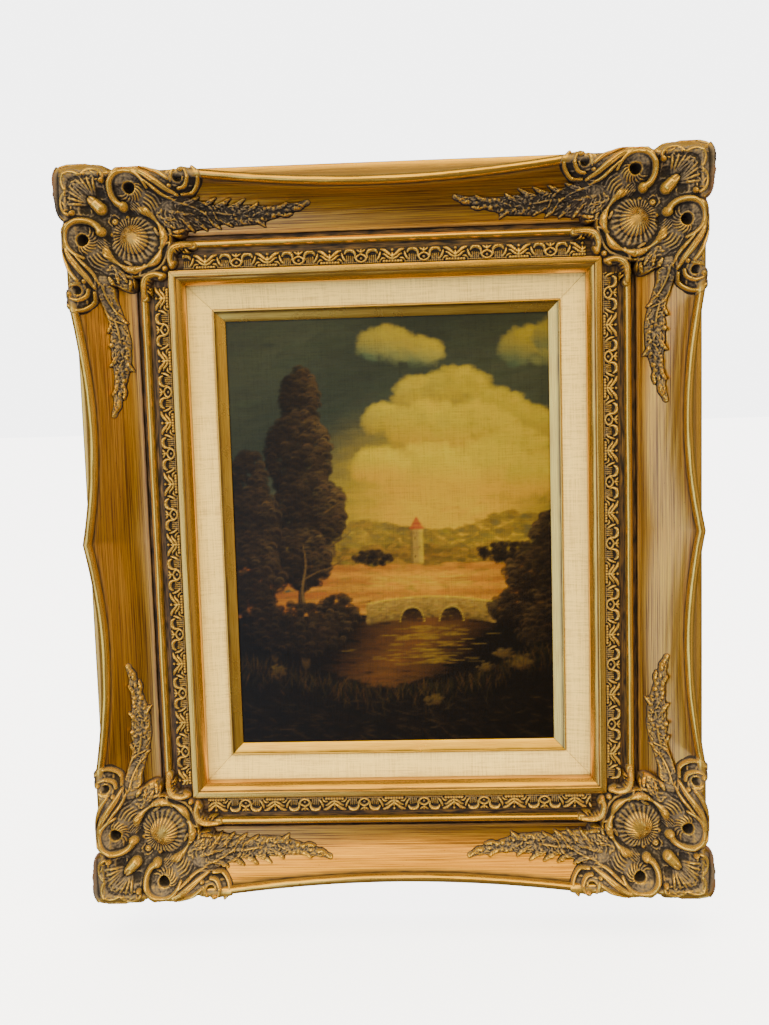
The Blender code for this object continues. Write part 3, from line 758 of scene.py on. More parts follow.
def cutAndClose(piece, inside, underside, thin):
    # keeps the faces inside the outline and closes them with sides and a plain underside
    makeActive(piece)
    editMode("DESELECT", "FACE")
    objectMode()
    piece.data.polygons.foreach_set("select", ~inside.ravel())
    editMode()
    bpy.ops.mesh.delete(type="FACE")
    bpy.ops.mesh.select_all(action="SELECT")
    bpy.ops.mesh.normals_make_consistent(inside=False)
    bpy.ops.mesh.extrude_region_move(TRANSFORM_OT_translate={"value": (0, 0.001, 0)})
    objectMode()
    chosen = np.zeros(len(piece.data.vertices), dtype=bool)
    piece.data.vertices.foreach_get("select", chosen)
    places = getPlaces(piece)
    places[chosen, 1] = underside(places[chosen])
    setPlaces(piece, places)
    editMode()
    bpy.ops.mesh.decimate(ratio=thin)
    bpy.ops.mesh.select_all(action="SELECT")
    bpy.ops.mesh.normals_make_consistent(inside=False)
    objectMode()


# Pressed ornament strips

band = {
    "start": 79.9,  # inward
    "width": 12.6,
    "foot": 40.3,  # rise of the underside
    "edge": 42.6,  # rise of the strip's face
    "cell": 0.4,
    "pitch": 55.3,
    "shift": {"top": -19.0, "bottom": 23.8, "left": 24.4, "right": -11.3},
    "ends": 107.3,  # from the outer corner
    "skin": 0.3,
    "tone": 0.11,
    "toneByHeight": 0.150,
    "toneByEdge": 0.16,
    "thinBack": 0.05,
    "smooth": 60,
}


def drawBandMotif(relief):
    # half a repeat: the eye at u = 0, the palmette at the far end
    far = band["pitch"] / 2
    r = relief
    r.ridge("broad", [(0, 4.6), (3.0, 6.0), (4.6, 8.2), (3.0, 10.4), (0, 11.6)], (1.0, 1.15, 1.0),
            (2.9, 3.2, 2.9))
    r.ball("broad", 0, 8.2, 1.5, 1.6)
    r.ridge("broad", [(0, 0.9), (0, 2.9)], (1.1, 1.4), (2.4, 3.0))
    r.ridge("broad", [(0.9, 2.8), (2.2, 1.8), (3.4, 0.9)], (0.9, 1.1, 0.8), (2.2, 2.8, 2.0))
    hook = [(5.9, 7.6), (5.2, 4.9), (6.6, 2.3), (9.6, 1.0), (12.8, 1.7), (14.4, 4.0)]
    r.ridge("broad", hook, (0.8, 1.3, 1.8, 1.9, 1.6, 0.9), (2.4, 3.2, 3.8, 3.8, 3.4, 2.4))
    r.ridge("cuts", beside(hook[2:5], 0.5), (0.3, 0.45, 0.3), (0.4, 0.8, 0.4))
    for k in range(4):
        r.ridge("broad", [(7.6 + 1.7 * k, 6.4 - 0.2 * k), (7.2 + 1.8 * k, 10.4)], (0.65, 0.85), (2.2, 1.8))
    r.ridge("broad", [(13.4, 10.6), (15.4, 8.0), (16.6, 5.2), (17.0, 3.2)], (0.8, 1.3, 1.3, 0.7),
            (2.0, 3.0, 3.0, 2.2))
    arm = [(far - 0.6, 7.0), (24.2, 4.8), (21.0, 2.2), (17.8, 1.0)]
    r.ridge("broad", arm, (1.1, 1.5, 1.6, 1.0), (3.2, 3.7, 3.7, 2.4))
    r.ridge("cuts", beside(arm[1:], 0.4), (0.3, 0.45, 0.3), (0.4, 0.7, 0.4))
    r.ridge("broad", [(far - 0.4, 9.4), (24.0, 8.0), (21.2, 5.6), (19.4, 5.0)], (1.0, 1.3, 1.2, 0.8),
            (2.6, 3.1, 3.0, 2.0))
    r.ridge("broad", [(16.8, 10.6), (18.8, 8.8), (21.2, 8.8)], (0.8, 1.1, 0.8), (2.0, 2.7, 2.0))
    r.ridge("broad", [(far, 4.4), (far, 7.0), (far, 9.8)], (1.0, 1.4, 1.1), (2.8, 3.3, 2.8))
    r.ball("broad", far, 1.7, 1.4, 2.9)
    for k in range(4):
        r.ball("broad", far - 2.5 * k, 11.3, 1.6, 2.7)
    for k in range(9):
        r.ball("broad", 2.0 + 1.8 * k, 11.9, 1.0, 1.9)


def bandHeights(shape, phase):
    # the drawn half repeat, mirrored and repeated along the rail
    last = len(shape) - 1
    column = np.abs(phase) / band["cell"]
    low = np.clip(column.astype(int), 0, last - 1)
    part = (column - low)[:, None]
    return shape[low] * (1 - part) + shape[low + 1] * part


def makeBands(material):
    cell = band["cell"]
    motif = Relief(int(band["pitch"] / 2 / cell) + 1, int(band["width"] / cell) + 1, cell)
    drawBandMotif(motif)
    shape = np.maximum(motif.broad - motif.cuts, 0)
    down = motif.v[0]
    for side in sides:
        end = halfOuter(side) - band["ends"]
        count = int(2 * end / cell) + 1
        along, across = np.meshgrid(np.linspace(-end, end, count), down, indexing="ij")
        turned = along[:, 0] - band["shift"][side] + band["pitch"] / 2
        height = bandHeights(shape, np.mod(turned, band["pitch"]) - band["pitch"] / 2)
        wobble = 0.16 * np.sin(along * 1.7 + across * 2.3) * np.sin(along * 0.61 - across * 1.1)
        height = height + wobble * (height > 0.3)
        edge = np.clip(np.minimum(across, band["width"] - across) / 0.5, 0, 1)
        rise = band["edge"] + band["skin"] + height * (0.35 + 0.65 * edge)
        piece = addGrid(f"pressedBand_{side}", len(down), count)
        setPlaces(piece, onSide(side, along, band["start"] + across, rise).reshape(-1, 3))
        tone = band["tone"] + band["toneByHeight"] * height
        tone = tone + band["toneByEdge"] * (height - blurred(height, 1.2 / cell))
        setAttribute(piece, "relief", np.clip(tone, 0, 1))
        setAttribute(piece, "edgeWear", np.zeros(height.size))
        setUv(piece, along * mm, across * mm)
        inside = np.ones((count - 1, len(down) - 1), dtype=bool)
        cutAndClose(piece, inside, lambda spots: -band["foot"] * mm, band["thinBack"])
        finished(piece, f"ornament_band_{side}", material, band["smooth"])
    print("bands done")


antiqueMaterial = makeAntique()
makeBands(antiqueMaterial)


# Corner ornaments with their sprays. u runs along one rail and v along the other, from the frame's outer
# corner. The drawing is mirrored about the mitre, and then the spray on the top or bottom rail gets its root.

corner = {
    "cell": 0.5,
    "start": -4.0,
    "reach": 224.0,
    "depth": 96.0,
    "innerReach": 107.0,  # where the pressed strip begins
    "cushionIn": (0, 5, 10, 18, 25, 33, 45, 56, 65, 71, 78, 86, 99),
    "cushionRise": (50, 57, 61.8, 61.8, 58, 53, 48, 46.5, 46.5, 48, 47.2, 46.4, 45.6),
    "skin": 0.7,  # at the least, over the rail
    "buried": 0.8,
    "skirt": 1.8,  # over which the edge rises
    "sprayFrom": 100,
    "sprayOver": 24,
    "spraySkin": 1.3,
    "grit": (0.30, 0.12),
    "tone": 0.235,
    "nearTone": 0.36,  # for each mm above the spots around
    "wideTone": 0.062,
    "eyeTone": 0.13,
    "roses": [(153.4, 41.2), (157.6, 39.8), (161.8, 42.0), (153.8, 46.0), (158.2, 44.6), (162.6, 46.8),
              (155.8, 50.2), (160.6, 51.0), (176.6, 45.6), (180.8, 42.6), (185.2, 42.0), (189.6, 43.4),
              (179.4, 49.8), (184.0, 46.8), (188.4, 47.8), (193.4, 46.2)],
    "gilding": 0.25,
    "stretch": 4.0,  # of the two lower castings
    # painted light: the two lower castings are made lighter, as if lit from above
    "lowerPaintedLight": 0.06,
    # painted shade on the sprays under the top rail's lip
    "underLipPaintedShade": -0.17,
    "scrollEye": (66.0, 22.5),
    "pits": [(66.0, 22.5, 5.6, 4.8, 11), (66, 44, 5, 4, 2.5), (26, 40, 5, 7, 2.5), (108, 62, 4, 4, 3),
             (109, 15.5, 4.2, 4.0, 6)],
    "thinBack": 0.05,
    "smooth": 65,
}


def drawCorner(relief):
    r = relief
    # the outer lobe: rim, wavy inner rims, and a fan of ridges from the bulb
    r.ridge("broad", [(9, 9), (17, 5.5), (27, 4.5), (37, 5.5), (45, 9)], (7, 7, 7, 6), (3.4, 3.2, 3.4, 3.6),
            0.8)
    r.ridge("broad", [(2.5, 2.5), (12, -0.4), (23, -1.2), (34, -0.6), (43, 2.0), (48.5, 8)], (2.0, 2.2, 2.0),
            (3.6, 4.0, 4.2), 0.8)
    r.ridge("crest", [(9.5, 9.5), (14.5, 7.4), (20, 8.4), (24.5, 11.5)], (1.4, 1.7, 1.2), (1.8, 2.2, 1.2),
            0.8)
    r.ridge("crest", [(24.5, 11.5), (28.5, 6.6), (35, 5.4), (41.5, 8), (44.5, 13.5), (42, 17)],
            (1.2, 1.6, 1.7, 1.6), (1.2, 2.2, 2.6, 2.6), 0.8)
    r.ball("broad", 43.2, 16.0, 2.7, 5.6)
    fan = (
        ((17.5, 17.5), 1.7), ((18.5, 21.5), 1.5), ((20.5, 14.8), 1.6),
        ((25, 14.6), 1.8), ((30, 13.2), 1.9), ((35.5, 13.4), 1.8),
    )
    for tip, high in fan:
        bend = (tip[0] * 0.42 + 34 * 0.58 + 0.8, tip[1] * 0.42 + 32 * 0.58 - 0.8)
        r.ridge("crest", [(34.5, 31.5), bend, tip], (1.1, 1.4, 1.3), (1.2, high + 0.3, high * 0.8), 0.8)
    # the C-scroll: a bright rim that ends in a ball, two broad ribbons that open out of it, a feathered bed
    r.ridge("broad", [(54, 14), (62, 8), (76, 8), (90, 17), (102, 29)], (8, 10, 10, 9, 6),
            (2.6, 3.0, 3.0, 2.6, 1.6), 0.9)
    r.ridge("broad", [(72, 26), (80, 35), (88, 44), (97, 52)], (7, 9, 9, 5), (3.0, 3.4, 3.0, 1.6), 0.9)
    rim = [(58.5, 37.5), (53, 34), (49.6, 27), (50.2, 18), (55.5, 11), (64, 8.3), (72, 10.6), (78, 16),
           (81.5, 23)]
    r.ridge("gilded", rim, (3.2, 3.0, 2.9, 2.8, 2.7, 2.4, 2.0, 1.5), (8.4, 8.0, 7.6, 7.4, 7.2, 6.4, 5.2, 3.6),
            0.6)
    r.ball("gilded", 58.6, 37.8, 4.6, 9.2, 0.6)
    r.ridge("gilded", [(52, 12.5), (58, 5.0), (68, 2.2), (80, 4.2), (91, 9.4), (101, 16.8)],
            (2.0, 3.2, 4.0, 3.8, 3.0, 1.7), (6.4, 7.4, 7.6, 6.8, 5.8, 4.4), 0.6)
    r.ridge("gilded", [(66, 7.0), (77, 10.0), (88, 17), (98, 24.5), (107, 29.6)],
            (1.6, 2.9, 3.1, 2.7, 1.5), (6.4, 6.8, 6.4, 5.6, 3.8), 0.6)
    r.ridge("gilded", [(79, 16.5), (87, 23), (95, 29.5), (104, 33.6)], (1.1, 1.7, 1.6, 1.0),
            (4.6, 5.2, 4.6, 3.0), 0.6)
    for path in ([(60, 5.2), (69, 4.6), (79, 7.0), (90, 12.6)],
                 [(72, 8.6), (82, 13.6), (92, 21.0), (101, 27.0)]):
        r.ridge("cuts", path, (0.45, 0.7, 0.45), (0.6, 1.5, 0.6))
    for k in range(9):
        lean = 0.75 + 0.05 * k
        foot = (82.5 - 1.35 * k, 22.5 + 2.9 * k)
        reach = 15.5 - 0.75 * k
        tip = (foot[0] + reach * math.cos(lean), foot[1] + reach * math.sin(lean))
        bend = ((foot[0] + tip[0]) / 2 + 1.3, (foot[1] + tip[1]) / 2 - 1.3)
        r.ridge("crest", [foot, bend, tip], (0.7, 1.15, 0.8), (0.8, 1.6, 0.8), 0.8)
    for k in range(5):
        feather = [(66.5 - 0.6 * k, 32.0 + 1.6 * k), (72 - 0.8 * k, 36.4 + 2.0 * k),
                   (76 - 1.3 * k, 42.0 + 2.0 * k)]
        r.ridge("crest", feather, (0.6, 0.95, 0.6), (0.8, 1.6, 0.8), 0.8)
    # leafy end of the flutes
    for base, tip, width in (
        ((92, 48), (103.5, 49.5), 2.5), ((92, 51), (102.5, 57), 2.6), ((89, 54), (97, 63), 2.4),
        ((98, 42), (109, 45.5), 2.4), ((101, 60), (110, 58), 2.1), ((84, 56), (89.5, 64), 2.0),
    ):
        r.leaf(base, tip, width, 3.8, 0.6, 2)
    # the knot on the lip: two nested curls round a deep eye
    r.ridge("broad", [(103, 14), (112, 15), (121, 14)], (8.5, 10.5, 8.5), (2.6, 3.2, 3.0), 0.8)
    r.ridge("gilded", [(108.5, 24.4), (114, 22.4), (117.6, 15.5), (115.6, 9)], (1.4, 2.0, 2.0, 1.6),
            (4.6, 6.4, 7.0, 7.0), 0.6)
    r.ridge("gilded", [(111, 29), (119.5, 27.4), (125, 20), (126, 12.5), (121.6, 6.4)],
            (1.4, 1.8, 2.1, 2.1, 1.9), (4.0, 5.0, 5.8, 6.2, 6.4), 0.6)
    r.ball("gilded", 112.6, 8.6, 3.0, 7.6)
    r.leaf((103, 19), (107.5, 5.5), 2.4, 4.6, -1.2, 3)
    for u, v, size, high in ((88, 5.4, 3.4, 5.0), (95, 7.6, 3.2, 5.0), (101.5, 22.5, 2.4, 5.0)):
        r.ball("broad", u, v, size, high, 0.7)
    # short strokes round the eye of the scroll
    eye = corner["scrollEye"]
    for k in range(9):
        turn = math.radians(19 * k - 25)
        spots = [(eye[0] + away * math.cos(turn + lean), eye[1] + away * math.sin(turn + lean))
                 for away, lean in ((5.8, 0), (9.0, 0.15), (12.5, 0.42))]
        r.ridge("crest", spots, (0.7, 1.0, 0.7), (0.9, 1.7, 0.8), 0.8)
    # collar, button, hook and bead
    r.ridge("broad", [(61, 46.5), (59.5, 52.5), (56, 56)], (1.9, 2.8, 3.0), (4, 6, 6), 0.7)
    r.ridge("crest", [(46.5, 43.5), (44.2, 50), (50, 55.8)], (0.8, 1.0, 0.8), (1.0, 1.4, 1.0), 0.8)
    hook = [(98.5, 91), (96.2, 83), (98.2, 76), (104, 72.3), (116, 71.6)]
    r.ridge("gilded", hook, (3.0, 2.8, 3.2, 2.8, 1.6), (6.2, 6.4, 6.6, 5.4, 3), 0.7)
    r.ridge("cuts", beside(hook[1:], 0.6), (0.4, 0.6, 0.4), (0.6, 1.2, 0.6))
    for k in range(4):
        r.ridge("broad", [(100.5 + 3.4 * k, 75.5), (102.6 + 3.6 * k, 78.6), (106.4 + 3.4 * k, 79.4)],
                (1.0, 1.25, 0.7), (4.2, 4.6, 3.2), 0.7)
    r.ball("broad", 101.0, 87.0, 2.4, 6.0)
    r.ridge("broad", [(88, 74), (93, 70), (99, 69)], (1.6, 2.0, 1.2), (3, 3.6, 2.6), 0.8)
    # the spray: a mottled bed, stems, leaves and small roses
    bed = [(104, 36), (122, 40), (140, 45), (158, 46.5), (178, 46), (196, 43.5), (210, 41), (220, 38)]
    r.ridge("broad", bed, (8, 7, 7, 9, 8.5, 5.5, 4, 2.2),
            (2.2, 2.0, 2.0, 2.4, 2.4, 2.2, 2.0, 1.6), 0.6)
    for stem in (
        [(100, 31), (112, 30), (124, 33.5), (134, 40), (138, 49)],
        [(104, 35), (117, 38.5), (128, 44.5), (135, 54)],
        [(108, 28), (124, 30), (138, 35), (150, 37)],
        [(134, 42), (144, 45), (152, 46)],
    ):
        r.ridge("crest", stem, (0.9, 1.15, 1.1, 0.8), (1.2, 2.0, 2.2, 1.6), 0.8)
    for base, tip, width, high, bend in (
        ((126, 43), (138, 53.5), 2.7, 3.2, -1.6), ((131, 39.5), (146, 36.2), 2.6, 3.4, 1.6),
        ((140, 47), (150, 54.0), 2.6, 3.2, -1.2), ((166, 50), (181, 57.0), 2.8, 3.6, -2.0),
        ((165, 43), (176, 36.6), 2.9, 4.4, 1.6), ((172, 51), (181, 54.0), 2.2, 3.0, 0.6),
        ((192, 42.5), (202, 37.4), 2.5, 3.8, 1.0), ((195, 47), (206, 46.6), 2.3, 3.4, 0.8),
        ((206, 43), (219.0, 38.0), 2.7, 4.0, 1.2),
    ):
        r.leaf(base, tip, width, high, bend)
    for i, (u, v) in enumerate(corner["roses"]):
        r.rosette(u + 0.6 * math.sin(i * 5.1), v + 0.6 * math.cos(i * 3.7), 2.2 + 0.35 * math.sin(i * 1.9),
                  3.2 + 0.5 * math.sin(i * 2.3), turn=i * 0.7)
    # small strokes scattered over the fields between two corners, by count and lean
    draw = np.random.default_rng(5)
    for low, high, count, lean in (
        ((104, 32), (150, 56), 80, 0.25), ((150, 38), (214, 54), 130, -0.05), ((100, 8), (122, 24), 10, 0.5),
        ((88, 42), (112, 66), 50, 0.9), ((6, 6), (44, 30), 26, 0.3),
    ):
        for i in range(count):
            middle = draw.uniform(low, high)
            turn = lean + draw.normal(0, 0.7)
            on = np.array((math.cos(turn), math.sin(turn))) * draw.uniform(1.6, 3.4)
            bend = np.array((-math.sin(turn), math.cos(turn))) * draw.uniform(-1.4, 1.4)
            stroke = [middle - on, middle + bend, middle + on]
            r.ridge("crest", stroke, (0.6, 0.95, 0.65), (0.6, draw.uniform(0.9, 2.1), 0.6), 0.8)


def drawSprayRoot(relief):
    # on the top and bottom rails the spray opens out of the corner in a broad fan of leaves
    r = relief
    r.ridge("broad", [(98, 46), (112, 46), (128, 46.5), (146, 45), (160, 43)], (13, 12.5, 10.5, 7.5, 5),
            (2.4, 2.4, 2.2, 1.8, 1.6), 0.6)
    for base, tip, width, high, bend in (
        ((103, 44), (117, 59.0), 3.6, 4.4, -1.5), ((112, 46), (129, 58.5), 3.3, 4.2, -1.5),
        ((122, 47), (141, 57.5), 3.1, 4.0, -1.4), ((134, 47), (152, 56.0), 2.8, 3.6, -1.2),
        ((107, 38), (124, 30.5), 3.1, 4.0, 1.2), ((120, 39), (139, 31.5), 2.9, 3.8, 1.2),
        ((135, 40), (152, 32.5), 2.7, 3.6, 1.1), ((148, 41), (165, 33.0), 2.6, 3.4, 1.0),
        ((99, 43), (121, 45.5), 3.4, 4.8, 0.6), ((118, 43), (140, 44.5), 3.0, 4.6, 0.5),
    ):
        r.leaf(base, tip, width, high, bend)


def drawShell(relief):
    u = relief.u - 65.5
    v = relief.v - 65.5
    radius = np.hypot(u, v)
    # the flutes fan out from a point nearer the outer corner
    turn = np.arctan2(v + 4.5, u + 4.5) - math.pi / 4
    turn = (turn + math.pi) % (2 * math.pi) - math.pi
    flutes = np.cos(turn * 30 + 0.7 * np.sin(turn * 4)) * np.clip((radius - 2.5) / 5, 0, 1)
    dome = 1.7 + 6.0 * np.clip(1 - (radius / 13.0) ** 2, 0, None) ** 0.7
    dome = (dome + (0.95 - 0.02 * radius) * flutes) * np.clip((22.0 - radius) / 3.0, 0, 1)
    around = np.arctan2(v, u) - math.pi / 4
    around = (around + math.pi) % (2 * math.pi) - math.pi
    facing = np.clip((2.2 - np.abs(around)) / 0.3, 0, 1)
    lobes = np.abs(np.cos(around * 3.4 + 0.25 * np.sin(around * 2))) ** 1.5
    middle = 25.6 + 1.0 * lobes
    ring = np.clip(1 - ((radius - middle) / (1.5 + 2.3 * lobes)) ** 2, 0, None) ** 0.6
    ring = (3.2 + 4.4 * lobes) * ring * facing
    outer = 2.8 * np.clip(1 - ((radius - 31.6 - 0.9 * lobes) / 1.7) ** 2, 0, None) ** 0.7 * facing
    domed = np.where(radius < 19, dome, np.maximum(dome, relief.broad))
    relief.broad = np.maximum.reduce([domed, ring, outer])
    relief.crest = np.where(radius < 22, 0, relief.crest)
    gold = 0.45 * np.clip(flutes, 0, 1) * np.clip((19 - radius) / 6, 0, 1)
    gold = np.clip(1.25 - radius / 12.5, 0, 1) + gold
    relief.gilt = np.maximum(np.where(radius < 22, gold, relief.gilt), (ring > 2.2) * (0.5 + 0.5 * lobes))


def sweptDisc(relief, points, widths):
    # how far each spot lies inside a band of changing width
    inside = np.full_like(relief.u, -50.0)
    path = smoothPath(points, 2.0)
    half = np.interp(np.linspace(0, 1, len(path)), np.linspace(0, 1, len(widths)), widths)
    for (u, v), r in zip(path, half):
        spot = relief.window(u, v, r + 6)
        inside[spot] = np.maximum(inside[spot], r - np.hypot(relief.u[spot] - u, relief.v[spot] - v))
    return inside


def leafEdge(leaves, relief, start):
    # an edge that follows the leaves themselves, from u = start on
    grown = blurred(leaves.astype(float), 0.7 / relief.cell) - 0.22
    return np.where(relief.u > start, grown * 3.2, -50)


def cornerOutline(relief):
    # how far each spot lies inside the casting's edge
    parts = [
        ([(12, 12), (25, 14), (38, 12.5)], (14.5, 16.5, 13.0)),
        ([(43, 17), (52, 17)], (8.5, 8.5)),
        ([(58, 22), (75, 21.5), (98, 27)], (18.5, 18.5, 15)),
        ([(106, 19), (119, 15.5)], (12, 11)),
        ([(86, 42), (97, 52), (104, 58)], (20, 12, 7.5)),
        ([(96, 86), (96.5, 78), (104, 72.5), (117, 72.5)], (6.5, 5.5, 5, 4)),
        ([(110, 39), (126, 42)], (7.5, 4.0)),
    ]
    half = np.maximum.reduce([sweptDisc(relief, points, widths) for points, widths in parts])
    half = np.maximum(half, leafEdge((relief.broad > 0.5) & (relief.u > 108), relief, 106))
    half = np.maximum(half, half.T)
    heart = sweptDisc(relief, [(45, 45), (66, 66), (84, 84)], (30, 35, 13))
    return np.maximum(heart, half)


def railFace(side, inward, along):
    # the rail's own front, so that the ornament can sit on it
    inset = lipInset(side, along)
    ledgeIn, ledgeRise = rail["ledge"]
    shoulder = rail["lipRise"] - rail["lipBead"]
    t = np.sqrt(np.clip((inward - ledgeIn) / (inset - ledgeIn), 0, 1))
    flank = ledgeRise + (shoulder - ledgeRise) * t
    turn = np.clip((inward - inset) / rail["lipWidth"], 0, 1) * 2 - 1
    lip = shoulder + rail["lipBead"] * np.sqrt(1 - turn**2)
    cove = coveRise(inward, inset)
    footIn, footRise = rail["coveFoot"]
    beadIn, beadWidth, beadShoulder, beadTop = rail["bead"]
    flatIn, flatEnd, flatRise = rail["flat"]
    filletEnd, filletRise = rail["fillet"]
    sightIn, sightRise = rail["sightEdge"]
    quirkIn, quirkRise = footIn + rail["footQuirk"][0], footRise - rail["footQuirk"][1]
    inner = np.interp(
        inward,
        (footIn, quirkIn, beadIn, beadIn + 0.1, beadIn + beadWidth / 2, flatIn, flatIn + 0.2, flatEnd,
         flatEnd + 0.3, filletEnd, sightIn),
        (footRise, quirkRise, quirkRise, beadShoulder, beadTop, beadShoulder, flatRise, flatRise,
         filletRise, filletRise, sightRise),
    )
    face = np.where(inward < inset, flank, np.where(inward < inset + rail["lipWidth"], lip, cove))
    return np.where(inward > footIn, inner, face)


def shiftTone(piece, amount):
    layer = piece.data.attributes["relief"].data
    tone = np.empty(len(layer), dtype=np.float32)
    layer.foreach_get("value", tone)
    layer.foreach_set("value", np.clip(tone + amount, 0, 1))


def paintedShadeUnderLip(spots):
    # painted shade: the sprays under the top rail's lip are made the darkest, standing in for the lip's
    # shadow
    along = frameSize["halfWidth"] - np.abs(spots[:, 0]) / mm
    down = topEdge - spots[:, 2] / mm
    return corner["underLipPaintedShade"] * np.clip((along - 92) / 20, 0, 1) * np.clip((64 - down) / 6, 0, 1)


def carveCorner(count):
    relief = Relief(count, count, corner["cell"], corner["start"])
    drawCorner(relief)
    outline = cornerOutline(relief)
    for layer in ("broad", "crest", "cuts", "gilt"):
        field = getattr(relief, layer)
        setattr(relief, layer, np.maximum(field, field.T))
    root = Relief(count, count, corner["cell"], corner["start"])
    drawSprayRoot(root)
    outline = np.maximum(outline, leafEdge(root.broad > 0.5, root, 92))
    relief.broad = np.maximum(relief.broad, root.broad)
    relief.cuts = np.maximum(relief.cuts, root.cuts)
    # on the mitre: the outer bulb, the shell, and a button and a bead inside it
    relief.ridge("gilded", [(31, 31), (35, 35), (39, 39)], (3.0, 5.2, 5.8), (5.0, 8.2, 9.0), 0.7)
    drawShell(relief)
    relief.ball("broad", 50, 50, 3.1, 5.6)
    relief.ball("cuts", 50, 50, 1.1, 1.6)
    relief.ball("broad", 91.5, 91.5, 2.7, 5.4)
    return relief, outline


def shapeCorner(relief, outline):
    # how high each spot stands, how high the rail under it, how deep the pits are, and which spots are kept
    u, v = relief.u, relief.v
    inward, far = np.minimum(u, v), np.maximum(u, v)
    onTop, onLeft = frameSize["halfWidth"] - far, frameSize["halfHeight"] - far
    face = np.where(u > v, railFace("top", inward, onTop), railFace("left", inward, onLeft))
    inset = np.where(u > v, lipInset("top", onTop), lipInset("left", onLeft))
    # a cushion near the corner, and the rail's own face along the spray
    cushion = np.interp(inward, corner["cushionIn"], corner["cushionRise"])
    skin = np.where(inward < rail["coveFoot"][0], coveRise(inward, inset) + corner["spraySkin"], cushion)
    share = np.clip((far - corner["sprayFrom"]) / corner["sprayOver"], 0, 1)
    ground = cushion * (1 - share) + skin * share
    pits = np.zeros_like(u)
    for a, b, wide, high, deep in corner["pits"]:
        for x, y in ((u, v), (v, u)):
            bowl = np.clip(1 - ((x - a) / wide) ** 2 - ((y - b) / high) ** 2, 0, None) ** 0.8
            pits = np.maximum(pits, deep * bowl)
    carved = np.maximum(relief.broad - relief.cuts, 0) + relief.crest
    coarse, fine = corner["grit"]
    grit = coarse * np.sin(u * 0.9 + np.sin(v * 0.7) * 2) * np.sin(v * 1.0 + np.sin(u * 0.6) * 2)
    grit = grit + fine * np.sin(u * 2.3 + 2 * np.sin(v * 1.7)) * np.sin(v * 2.5 + 2 * np.sin(u * 1.3))
    top = ground + carved + grit * np.clip(1.6 - carved * 0.4, 0.15, 1) - pits
    top = np.where(far < 132, np.maximum(top, face + corner["skin"]), top)
    low = face - corner["buried"]
    rise = low + (top - low) * np.clip(outline / corner["skirt"], 0, 1) ** 0.6
    keep = (outline > -0.6) & (inward < corner["depth"])
    keep &= ~((inward > band["start"] - 1) & (far > corner["innerReach"]))
    keep &= ~((inward < 3.5) & (far > 104))
    return rise, low, pits, keep


def toneCorner(relief, outline, rise, pits):
    # light on what stands out of its surroundings and on the gilded ridges, dark in pits and at the edge
    u, v = relief.u, relief.v
    far = np.maximum(u, v)
    near = np.clip(rise - blurred(rise, 1.1 / corner["cell"]), -0.55, 1.2)
    wide = np.clip(rise - blurred(rise, 4.5 / corner["cell"]), -3.5, 4)
    tone = corner["tone"] + corner["nearTone"] * near + corner["wideTone"] * wide
    # no pale ring round the eye of a scroll
    a, b = corner["scrollEye"]
    eye = np.minimum(np.hypot(u - a, v - b), np.hypot(v - a, u - b))
    tone = tone - corner["eyeTone"] * np.clip((11.0 - eye) / 4, 0, 1)
    tone = tone + corner["gilding"] * relief.gilt * (0.75 + 0.25 * np.sin(u * 0.31 + 1.0) * np.sin(v * 0.27))
    tone = np.clip(tone * np.clip(1.1 - pits / 8, 0, 1) * np.clip(0.45 + outline / 5, 0.45, 1), 0, 1)
    wear = np.clip(1 - outline / 5.0, 0, 1) * (far < 62)
    wear = wear + 0.4 * np.clip(1 - outline / 3.0, 0, 1) * (far < 120)
    return tone, wear


def mirroredCorner(piece, name, mirrorX, mirrorZ):
    copy = piece.copy()
    copy.data = piece.data.copy()
    copy.name = copy.data.name = f"cornerOrnament_{name}"
    bpy.context.collection.objects.link(copy)
    spots = getPlaces(copy)
    if mirrorX:
        spots[:, 0] *= -1
    if mirrorZ:
        # the lower castings stand a little further out, with the lower rail's lip
        depth = topEdge * mm - spots[:, 2]
        spots[:, 2] += corner["stretch"] * mm * np.clip(1 - depth / 0.1, 0, 1)
        spots[:, 2] = 2 * frameSize["middle"] * mm - spots[:, 2]
        # painted light: the lower copies are made lighter, as if lit from above
        shiftTone(copy, corner["lowerPaintedLight"])
    else:
        # painted shade on the sprays under the top rail's lip
        shiftTone(copy, paintedShadeUnderLip(spots))
    setPlaces(copy, spots)
    if mirrorX != mirrorZ:
        makeActive(copy)
        editMode("SELECT")
        bpy.ops.mesh.flip_normals()
        objectMode()
    return copy


